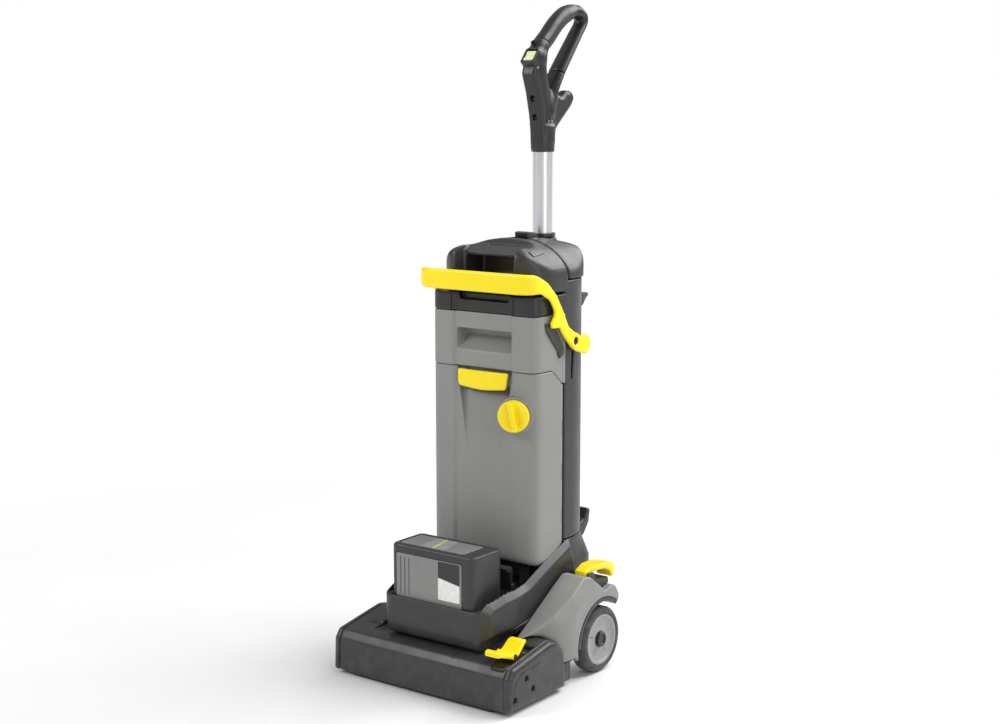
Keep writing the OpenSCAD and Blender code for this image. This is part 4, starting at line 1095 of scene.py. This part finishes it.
def add_battery_panels():
    """Lighter front and top panels with blank inlays."""
    case = Box("battery_case")
    x0, x1 = case.x0 + 10.2, 52.4
    front = prism("front", rectangle(x0, 128.6, x1, 197.4, 3), "y", case.y0 + 0.5, case.y0 + 2.6)
    grooves = []
    for i in range(3):
        x = x0 + 7 + 8 * i
        grooves.append(prism("groove", rectangle(x, 136, x + 2.4, 192, 1),
                             "y", case.y0 - 2, case.y0 + 1.6))
    cut(front, *grooves)
    top = prism("top", rectangle(x0 - 1.4, case.y0 + 10.6, 48.4, case.y1 - 10.6, 5),
                "z", case.z1 - 2.6, case.z1 - 0.5)
    skin = joined("battery_panels_skin", crisp(front, 0.4), crisp(top, 0.5))
    stand_in(skin, "panel_grey", "battery", "battery_panels")
    # blank two-tone label on the front, pale inlay and stripe on the top
    y = case.y0 + 0.5
    add_inlay("label_dark", [(9, 172), (49, 165), (49, 196), (9, 196)], "y", y - 0.35, y + 0.2,
              "black_plastic", "battery")
    add_inlay("label_light", [(9, 138), (49, 138), (49, 164), (9, 171)], "y", y - 0.35, y + 0.2,
              "bristle", "battery")
    z = case.z1 - 0.5
    near, far = case.y0 + 12, case.y1 - 12
    add_inlay("top_inlay", [(-32, near), (12, near), (3, far), (-38, far)], "z", z - 0.2, z + 0.4,
              "rim_grey", "battery")
    add_inlay("top_stripe", [(-12, near + 1), (-9, near + 1), (-17, far - 1), (-20, far - 1)], "z",
              z + 0.1, z + 0.6, "yellow_plastic", "battery")


def add_inlay(name, outline, axis, low, high, material, body):
    piece = prism(name, rounded([(u, v, 1.2) for u, v in outline]), axis, low, high)
    dress(crisp(piece, 0.12, 2), material, body)


# ---------- Wheels and fenders ----------

def add_wheels():
    for side, name in ((1, "right"), (-1, "left")):
        tyre, rim = Box("tyre_" + name), Box("rim_" + name)
        inner = tyre.x0 if side > 0 else tyre.x1
        axis = (side, 0, 0)
        centre = (inner, 0, tyre.z)
        radius, rim_radius = (tyre.z1 - tyre.z0) / 2, (rim.z1 - rim.z0) / 2
        width = tyre.x1 - tyre.x0
        tread = rounded([(rim_radius, 0.4, 1), (radius - 5, 0, 4), (radius, 5, 5), (radius, width / 2, 60),
                         (radius, width - 5, 5), (radius - 5, width, 4), (rim_radius, width - 0.4, 1)])
        piece = lathe("tyre_skin_" + name, tread[::-1], centre, axis, 128)
        stand_in(piece, "tyre_rubber", "wheel_" + name, "tyre_" + name)
        add_rim(side, name, centre, rim_radius, width)
        hub = rounded([(0.01, width - 2, 0.2), (7, width - 2, 1), (8, width - 0.4, 1),
                       (10, width + 0.8, 1), (11.3, width - 0.6, 1), (11.3, width - 6, 0.3),
                       (0.01, width - 6)])
        piece = lathe("hub_cap_skin_" + name, hub, centre, axis, 64)
        stand_in(piece, "black_plastic", "wheel_" + name, "hub_cap_" + name)


def add_rim(side, name, centre, radius, width):
    """Dished rim with thin radial slits and a raised bead."""
    profile = rounded([(6.4, 2), (12, 2, 1), (12, 14, 2), (radius - 6, 15, 2), (radius - 5, 1, 1),
                       (radius - 0.2, 1), (radius - 0.2, width - 0.6, 1.5), (radius - 4, width - 1, 1.5),
                       (radius - 6.5, width - 4, 2), (24, width - 6.5, 30), (13.5, width - 4.4, 1.5),
                       (12, width - 5.8, 0.5), (6.4, width - 5.8)])
    rim = lathe("rim_skin_" + name, profile, centre, (side, 0, 0), 128)
    slits = []
    for i in range(5):
        angle = math.radians(90 + 72 * i)
        along, across = (math.cos(angle), math.sin(angle)), (-math.sin(angle), math.cos(angle))
        corners = []
        for run, half in ((17, -0.6), (29, -0.7), (29, 0.7), (17, 0.6)):
            corners.append((centre[1] + run * along[0] + half * across[0],
                            centre[2] + run * along[1] + half * across[1]))
        low, high = sorted((centre[0] + side * (width - 11), centre[0] + side * (width + 3)))
        slits.append(prism("slit", corners, "x", low, high))
    cut(rim, *slits)
    stand_in(rim, "rim_grey", "wheel_" + name, "rim_" + name)


def fender_sweep(grid):
    """Distance outside the plan line where the fender's flank sweeps inwards to the front."""
    line = rounded([(90, -160), (120, -160, 6), (140, -126, 30), (154, -104, 30), (166, -80, 40),
                    (166, 70), (90, 70)], 8)
    return grid.plan(line)


def add_fenders():
    box = Box("fender_right")
    grid = Grid((box.x0, box.y0, box.z0), (box.x1, box.y1, box.z1), 1.2)
    opening = grid.reach((0, 0, AXLE_Z)) - 66
    outline = rounded([(-158, 83, 4), (-126, 101, 30), (-104, 115, 30), (-60, 142, 40), (-36, 155.4, 10),
                       (-22, 153.6, 6), (8, 126, 10), (34, 133, 14), (47, 113, 3), (43, 98, 2),
                       (0, 60), (-70, 30), (-72, 42), (-97, 38, 2), (-99.6, 48, 4), (-107.5, 72, 14),
                       (-126, 84.5, 14), (-141.5, 87, 10)], 8)
    wall = both(grid.side(outline), -opening, 0.8)
    flank = both(fender_sweep(grid), wall, 4)
    # upper facet leans inwards above a crease that runs forward from the arch top
    crease = np.interp(grid.y, [-158, -132, -98, -60, -20, 10], [78, 84, 96, 118, 132, 128])
    lean = np.maximum(grid.z - crease, 0)
    facet = grid.x - (166 - 0.42 * lean - np.maximum(-70 - grid.y, 0) * 0.22)
    border = 0.9 * np.clip((grid.reach((0, 0, AXLE_Z)) - 74) / 1.2, 0, 1)
    fender = both(flank, both(facet, grid.x - box.x1 + border), 2.0)
    fender = both(fender, box.x0 - grid.x, 1)
    hollow = both(both(fender_sweep(grid), wall) + 3, grid.x - box.x1 + 3)
    hollow = both(hollow, facet + 3)
    hollow = both(hollow, box.x0 - 8 - grid.x)
    fender = without(fender, hollow)
    head = rounded([(-260, -10), (-246, 57), (-236, 69), (-142, 86), (-128, 84, 8), (-106, 60, 14),
                    (-101.4, 47), (-101.4, -10)])
    fender = without(fender, grid.side(head) - 0.5)
    right = grid.moulding("fender_skin_right", fender)
    left = mirrored("fender_skin_left", right)
    for piece, name in ((right, "fender_right"), (left, "fender_left")):
        stand_in(piece, "grey_plastic", "chassis", name)


# ---------- Foot pedals ----------

BAR_PIVOT = (-206, 78.2)      # (y, z) of the bar pedal's pin
BRUSH_AXIS = (-203, 31.5)     # (y, z) of the brush
COVER_AXIS = (-203, 27)       # (y, z) of the round seam and the screws on the end plates

def add_tilt_pedal():
    box = Box("tilt_pedal")
    grid = Grid((box.x0, box.y0, box.z0), (box.x1, box.y1 + 3, box.z1 + 1), 0.9)
    side = rounded([(-20, 150, 2), (-19.5, 158.5, 3), (-4, 164, 20), (28, 163.5, 30), (50, 160, 8),
                    (57, 153, 4), (57, 137, 4), (49, 136, 4), (43, 148, 8), (30, 154, 10),
                    (12, 156, 8), (-5, 155, 3), (-9, 146.6, 2), (-16, 146.6, 2)])
    taper = np.interp(grid.y, [-22, -6, 6, 40, 57], [10.5, 11.5, 15, 15, 14])
    pedal = both(grid.side(side), np.abs(grid.x - box.x) - taper, 2.6)
    # grip lines across the tread
    lines = both(both(np.abs(np.mod(grid.y, 9) - 4.5) - 0.8, between(grid.y, 8, 46)),
                 np.abs(grid.x - box.x) - 10.5)
    top = np.interp(grid.y, [-4, 28, 50], [164, 163.5, 160])
    pedal = without(pedal, both(lines, top - 0.9 - grid.z), 0.4)
    pedal = without(pedal, grid.reach((0, -14, 152)) - 3.2, 0.4)
    skin = grid.moulding("tilt_pedal_skin", pedal)
    stand_in(skin, "yellow_plastic", "tilt_pedal", "tilt_pedal")


def add_bar_pedal():
    """Rocker with a low wing in front and a raised wing behind."""
    box = Box("bar_pedal")
    grid = Grid((box.x0 - 8, box.y0 - 6, box.z0 - 1), (box.x1 + 3, box.y1 + 4, box.z1 + 2), 0.8)
    side = rounded([(-244, 84, 2), (-242, 92, 3), (-232, 91, 4), (-208, 80, 5), (-199, 80.5, 5),
                    (-181, 93.5, 4), (-172, 94, 2), (-170, 90, 2), (-200, 75, 4), (-210, 75, 5),
                    (-239, 85, 2)])
    plan = rounded([(113, -214, 4), (122, -245, 5), (149, -243, 6), (149, -196, 10), (143, -169, 5),
                    (118, -171, 4), (117, -196, 6)])
    pedal = both(grid.side(side), grid.plan(plan), 1.6)
    pivot = grid.cylinder((box.x0, *BAR_PIVOT), (1, 0, 0), 5.6, 0.4, box.x1 - box.x0 - 0.4, 1)
    pedal = either(pedal, pivot, 2)
    pedal = without(pedal, grid.reach((0, *BAR_PIVOT)) - 3.2, 0.3)
    skin = grid.moulding("bar_pedal_skin", pedal)
    stand_in(skin, "yellow_plastic", "bar_pedal", "bar_pedal")


# ---------- Scrub head ----------

def head_profile():
    return rounded([(-246.6, 6, 2), (-244, 56, 6), (-236, 68, 5), (-142, 85, 30), (-128, 83, 14),
                    (-108, 66, 16), (-104.6, 47, 8), (-102.2, 6)], 8)


def add_head():
    """Head cover: full-height ends, stepped middle under the tray, seams and swept rises."""
    box = Box("head_housing")
    grid = Grid((box.x0, box.y0, box.z0), (box.x1, box.y1, box.z1), 1.7)
    bow = 1.6 * (grid.x / box.x1) ** 2
    cover = both(outline_distance(grid.y - bow, grid.z, head_profile()), np.abs(grid.x) - box.x1, 1)
    # middle, stepped down under the battery tray
    middle = rounded([(-112, -216, 8), (112, -216, 14), (112, -90), (-112, -90)])
    cover = without(cover, both(grid.plan(middle), 69 - grid.z), 1.5)
    shoulder = rounded([(-104, -228, 6), (96, -228, 22), (112, -206, 10), (112, -150), (-104, -150)])
    cover = without(cover, both(grid.plan(shoulder), 71.6 - grid.z), 1.0)
    # swept rise on the far side
    sweep = rounded([(-113, -262), (-58, -262), (-58, -240, 20), (-108, -232, 40), (-134, -196, 40),
                     (-113, -190)])
    cover = without(cover, both(grid.plan(sweep), 73.2 - grid.z), 1.6)
    # fine seams across the shoulder
    for x in (-76, 58):
        cover = without(cover, both(np.abs(grid.x - x) - 0.6, both(66.5 - grid.z, grid.y + 214)))
    cover = without(cover, both(grid.plan(insert_plan()) - 0.3, Box("pedal_insert").z0 - grid.z), 0.4)
    cover = hollow_head(grid, cover)
    skin = grid.moulding("head_skin", cover)
    stand_in(skin, "dark_plastic", "chassis", "head_housing")


def insert_plan():
    box = Box("pedal_insert")
    return rounded([(box.x0 + 1, box.y1 - 1, 2), (box.x1 - 1, box.y1 - 1, 2), (box.x1 - 1, box.y0 + 1, 2),
                    (box.x1 - 22, box.y0 + 1, 8), (box.x0 + 1, box.y1 - 34, 8)])


def add_pedal_insert():
    """Black plate let into the cover under the bar pedal, with cheeks and a pin for the pedal."""
    box = Box("pedal_insert")
    grid = Grid((box.x0, box.y0, 60), (box.x1, box.y1, box.z1 + 2), 0.7)
    sunk = rounded([(box.y0, box.z0), (box.y0, 67.8), (-204, 69.8, 20), (box.y1, 75.8), (box.y1, box.z0)])
    plate = both(grid.side(sunk), grid.plan(insert_plan()), 0.5)
    cheek = grid.side(rounded([(-211, 66), (-209, 81, 2), (-203, 81, 2), (-201, 66)]))
    for x in (115.2, 149.4):
        plate = either(plate, both(cheek, between(grid.x, x, x + 1.4)), 0.3)
    plate = np.minimum(plate, grid.cylinder((115.2, *BAR_PIVOT), (1, 0, 0), 2.8, 0, 35))
    for x in (139, 143, 147):
        plate = np.minimum(plate, grid.block((x, -178, box.z0 + 2), (x + 1.2, -169, 74.6)))
    skin = grid.moulding("pedal_insert_skin", plate, 1)
    stand_in(skin, "black_plastic", "chassis", "pedal_insert")


def hollow_head(grid, cover):
    """Opens the cover underneath round the brush, drive and suction duct."""
    room = rounded([(-241.6, -3), (-239, 54, 4), (-231, 62, 4), (-150, 62, 6), (-113, 59, 8),
                    (-108, 46, 6), (-106.4, -3)])
    inside = grid.side(room)
    webs = between(np.abs(grid.x), 134, 137)
    partition = between(grid.y, -154, -151)
    floor = both(between(grid.y, -152, -105), between(grid.z, 6, 8))
    ribs = np.minimum(webs, both(np.minimum(partition, floor), np.abs(grid.x) - 136))
    cover = without(cover, without(both(inside, np.abs(grid.x) - 153), ribs))
    for place, radius in (((0, *BRUSH_AXIS), 11), ((0, -130, 41), 6)):
        bore = both(grid.reach(place) - radius, between(np.abs(grid.x), 133, 138))
        cover = without(cover, bore)
    duct = grid.along((45, -150.8, 34), (0, math.cos(math.radians(12)), math.sin(math.radians(12))))
    return without(cover, both(duct[1] - 16.4, -3 - duct[0]))


def add_end_plates():
    """End plates with the seam of the round bearing cover and three recessed screws."""
    box = Box("end_plate_right")
    grid = Grid((box.x0, box.y0, box.z0), (box.x1, box.y1, box.z1), 1.1)
    outline = rounded([(-246.4, 6, 2), (-244, 56, 8), (-234, 69, 8), (-142, 85, 20), (-126, 82, 14),
                       (-107, 66, 18), (-104, 47, 8), (-102.2, 6)], 8)
    plate = both(grid.side(outline), between(grid.x, box.x0, box.x1))
    plate = both(plate, (grid.x - box.x1 + grid.side(outline) + 4.5) * 0.707, 2.5)
    ring = grid.reach((0, *COVER_AXIS))
    shallow = box.x1 - 1.2 - grid.x
    seam = both(np.abs(ring - 35) - 0.7, both(shallow, both(grid.y + 188, 8 - grid.z)))
    tail = both(np.abs((grid.z - 62) - (grid.y + 203) * 0.08) - 0.6,
                both(shallow, between(grid.y, -203, -172)))
    plate = without(plate, np.minimum(seam, tail), 0.3)
    plate = without(plate, grid.cylinder((0, *BRUSH_AXIS), (1, 0, 0), 11, box.x0 - 2, box.x0 + 5))
    for angle in (75, 5, 190):
        y = -209 + 22 * math.cos(math.radians(angle))
        z = 27 + 22 * math.sin(math.radians(angle))
        plate = without(plate, grid.cylinder((0, y, z), (1, 0, 0), 4.6, box.x1 - 6, box.x1 + 5), 0.5)
        plate = without(plate, grid.cylinder((0, y, z), (1, 0, 0), 1.7, box.x0 - 5, box.x1 + 5))
    right = grid.moulding("end_plate_skin_right", plate, 4)
    left = mirrored("end_plate_skin_left", right)
    for piece, name in ((right, "end_plate_right"), (left, "end_plate_left")):
        stand_in(piece, "dark_plastic", "chassis", name)


def add_bristles():
    """Rows of tufts wound round the brush core, trimmed to the brush's radius."""
    core, brush = Box("brush_core"), Box("brush_bristles")
    inner, outer = (core.z1 - core.z0) / 2, (brush.z1 - brush.z0) / 2
    chance = np.random.default_rng(7)
    points, faces = [], []
    rows, pitch = 12, 5.2
    for row in range(rows):
        for i in range(int((brush.x1 - brush.x0 - 8) / pitch)):
            x = brush.x0 + 4 + i * pitch
            angle = 2 * math.pi * row / rows + (x - brush.x) * 0.012
            for hair in range(9):
                lean = chance.uniform(-0.09, 0.09)
                side = chance.uniform(-1.9, 1.9)
                tip = outer - chance.uniform(0.0, 1.2)
                start = len(points)
                for radius, half, turn, slide in ((inner - 0.5, 0.5, 0, 0), (tip, 0.32, lean, side)):
                    for k in range(3):
                        a = 2 * math.pi * k / 3
                        around = angle + turn + half * math.cos(a) / radius
                        along = x + slide + half * math.sin(a) + (hair % 3 - 1) * 1.1
                        along = min(max(along, brush.x0 + 0.2), brush.x1 - 0.2)
                        points.append((along, core.y + radius * math.cos(around),
                                       core.z + radius * math.sin(around)))
                for k in range(3):
                    faces.append([start + k, start + (k + 1) % 3, start + 3 + (k + 1) % 3,
                                  start + 3 + k])
                faces.append([start + 2, start + 1, start])
                faces.append([start + 3, start + 4, start + 5])
    tufts = mesh_object("brush_tufts", points, faces)
    stand_in(tufts, "bristle", "brush", "brush_bristles")


# ---------- Suction hose ----------

def add_lower_hose():
    """Convoluted hose from the head's duct up to the hose in the column."""
    line = smooth_line([(45, -98, 46), (45, -84, 50), (45, -62, 60), (45, -30, 80), (45, 4, 100),
                        (45, 30, 120), (45, 36, 134)], 16)
    steps = np.hypot(*np.diff(line, axis=0).T[1:])
    run = np.concatenate([[0], np.cumsum(steps)])
    radii = 13.2 + 1.7 * np.cos(run * 2 * math.pi / 7.0)
    points, faces, segments = [], [], 28
    for i, centre in enumerate(line):
        ahead = line[min(i + 1, len(line) - 1)] - line[max(i - 1, 0)]
        ahead /= np.linalg.norm(ahead)
        up = np.array([0, -ahead[2], ahead[1]])
        for k in range(segments):
            a = 2 * math.pi * k / segments
            points.append(centre + radii[i] * (math.cos(a) * np.array([1, 0, 0]) + math.sin(a) * up))
    for i in range(len(line) - 1):
        for k in range(segments):
            k2 = (k + 1) % segments
            faces.append([i * segments + k, i * segments + k2, (i + 1) * segments + k2,
                          (i + 1) * segments + k])
    faces.append(list(range(segments))[::-1])
    faces.append([(len(line) - 1) * segments + k for k in range(segments)])
    hose = mesh_object("lower_hose", points, faces)
    tidy_normals(hose)
    hose.data.materials.append(MATERIALS["black_plastic"])
    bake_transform(hose)


# ---------- Stage ----------

BACKDROP = linear(255, 255, 255)
CAMERA_TURN, CAMERA_TILT = 36.5, 9.15           # degrees
CAMERA_LENS = 59.3                              # mm
CAMERA_PLACE = (1.4797, -2.0414, 0.8719)        # metres from under the axle
LOOK_HEIGHT = 0.45                              # metres, where the lights point


def add_stage():
    """A pale floor that fades into the white backdrop."""
    bpy.ops.mesh.primitive_plane_add(size=40)
    floor = bpy.context.object
    floor.name = "floor"
    m = Nodes("floor")
    shade = m.spread(m.noise(3.0, 3.0), 0.3, 0.7, 0.0, 1.0)
    m.link(m.mix(shade, linear(236, 236, 236), linear(242, 242, 242)),
           m.shader.inputs["Base Color"])
    m.shader.inputs["Roughness"].default_value = 0.7
    distance = m.add("ShaderNodeVectorMath", operation="LENGTH")
    m.link(m.place, distance.inputs[0])
    glow = m.add("ShaderNodeEmission")
    glow.inputs["Color"].default_value = BACKDROP
    blend = m.add("ShaderNodeMixShader")
    m.link(m.spread(distance.outputs["Value"], 0.35, 1.5), blend.inputs[0])
    m.link(m.shader.outputs[0], blend.inputs[1])
    m.link(glow.outputs[0], blend.inputs[2])
    m.link(blend.outputs[0], m.tree.nodes["Material Output"].inputs["Surface"])
    floor.data.materials.append(m.material)


def add_light(name, place, target, size, power):
    data = bpy.data.lights.new(name, "AREA")
    data.shape = "RECTANGLE"
    data.size, data.size_y = size
    data.energy = power
    light = bpy.data.objects.new(name, data)
    scene.collection.objects.link(light)
    light.location = place
    light.rotation_mode = "QUATERNION"
    light.rotation_quaternion = (Vector(target) - Vector(place)).to_track_quat("-Z", "Y")


def add_world():
    """White to the camera, and a softer white light on the machine."""
    world = bpy.data.worlds.new("studio")
    scene.world = world
    world.use_nodes = True
    nodes, links = world.node_tree.nodes, world.node_tree.links
    seen = nodes["Background"]
    seen.inputs["Color"].default_value = BACKDROP
    lit = nodes.new("ShaderNodeBackground")
    lit.inputs["Color"].default_value = (1.0, 1.0, 1.0, 1.0)
    lit.inputs["Strength"].default_value = 0.42
    path = nodes.new("ShaderNodeLightPath")
    blend = nodes.new("ShaderNodeMixShader")
    links.new(path.outputs["Is Camera Ray"], blend.inputs[0])
    links.new(lit.outputs[0], blend.inputs[1])
    links.new(seen.outputs[0], blend.inputs[2])
    links.new(blend.outputs[0], nodes["World Output"].inputs["Surface"])


def add_lights():
    add_world()
    middle = (0, AXLE_Y * MM, LOOK_HEIGHT)
    add_light("key", (-1.8, -2.2, 2.4), middle, (1.4, 1.4), 44)
    add_light("fill", (2.8, -1.0, 1.4), middle, (1.6, 2.2), 20)
    add_light("top", (1.1, 1.1, 2.5), middle, (1.6, 1.6), 50)
    add_light("rim", (0.6, 2.6, 2.1), middle, (2.4, 1.4), 44)


def add_camera():
    """Stands where a standing viewer would, in front of the machine and to its right."""
    turn, tilt = math.radians(CAMERA_TURN), math.radians(CAMERA_TILT)
    data = bpy.data.cameras.new("camera")
    data.lens = CAMERA_LENS
    data.sensor_width = 36.0
    data.clip_start = 0.1
    data.clip_end = 50
    camera = bpy.data.objects.new("camera", data)
    scene.collection.objects.link(camera)
    x, y, z = CAMERA_PLACE
    camera.location = (x, AXLE_Y * MM + y, z)
    look = Vector((-math.sin(turn) * math.cos(tilt), math.cos(turn) * math.cos(tilt),
                   -math.sin(tilt)))
    camera.rotation_mode = "QUATERNION"
    camera.rotation_quaternion = look.to_track_quat("-Z", "Y")
    scene.camera = camera


MATERIALS = make_materials()
for node in frame["nodes"]:
    dress_cad_node(node)
add_fresh_tank()
add_dosing_knob()
add_tank_grip()
add_dirty_tank()
add_bail_catches()
add_lid()
add_dome()
add_dome_tab()
add_column()
add_column_cap()
add_column_base()
add_cable_hook()
add_clamp()
add_bail()
add_bail_pins()
add_handle()
add_rocker()
add_lower_frame()
add_battery()
add_battery_panels()
add_wheels()
add_fenders()
add_tilt_pedal()
add_bar_pedal()
add_head()
add_pedal_insert()
add_end_plates()
add_bristles()
add_lower_hose()

scene.view_settings.view_transform = "Standard"
add_stage()
add_lights()
add_camera()

bpy.context.view_layer.update()
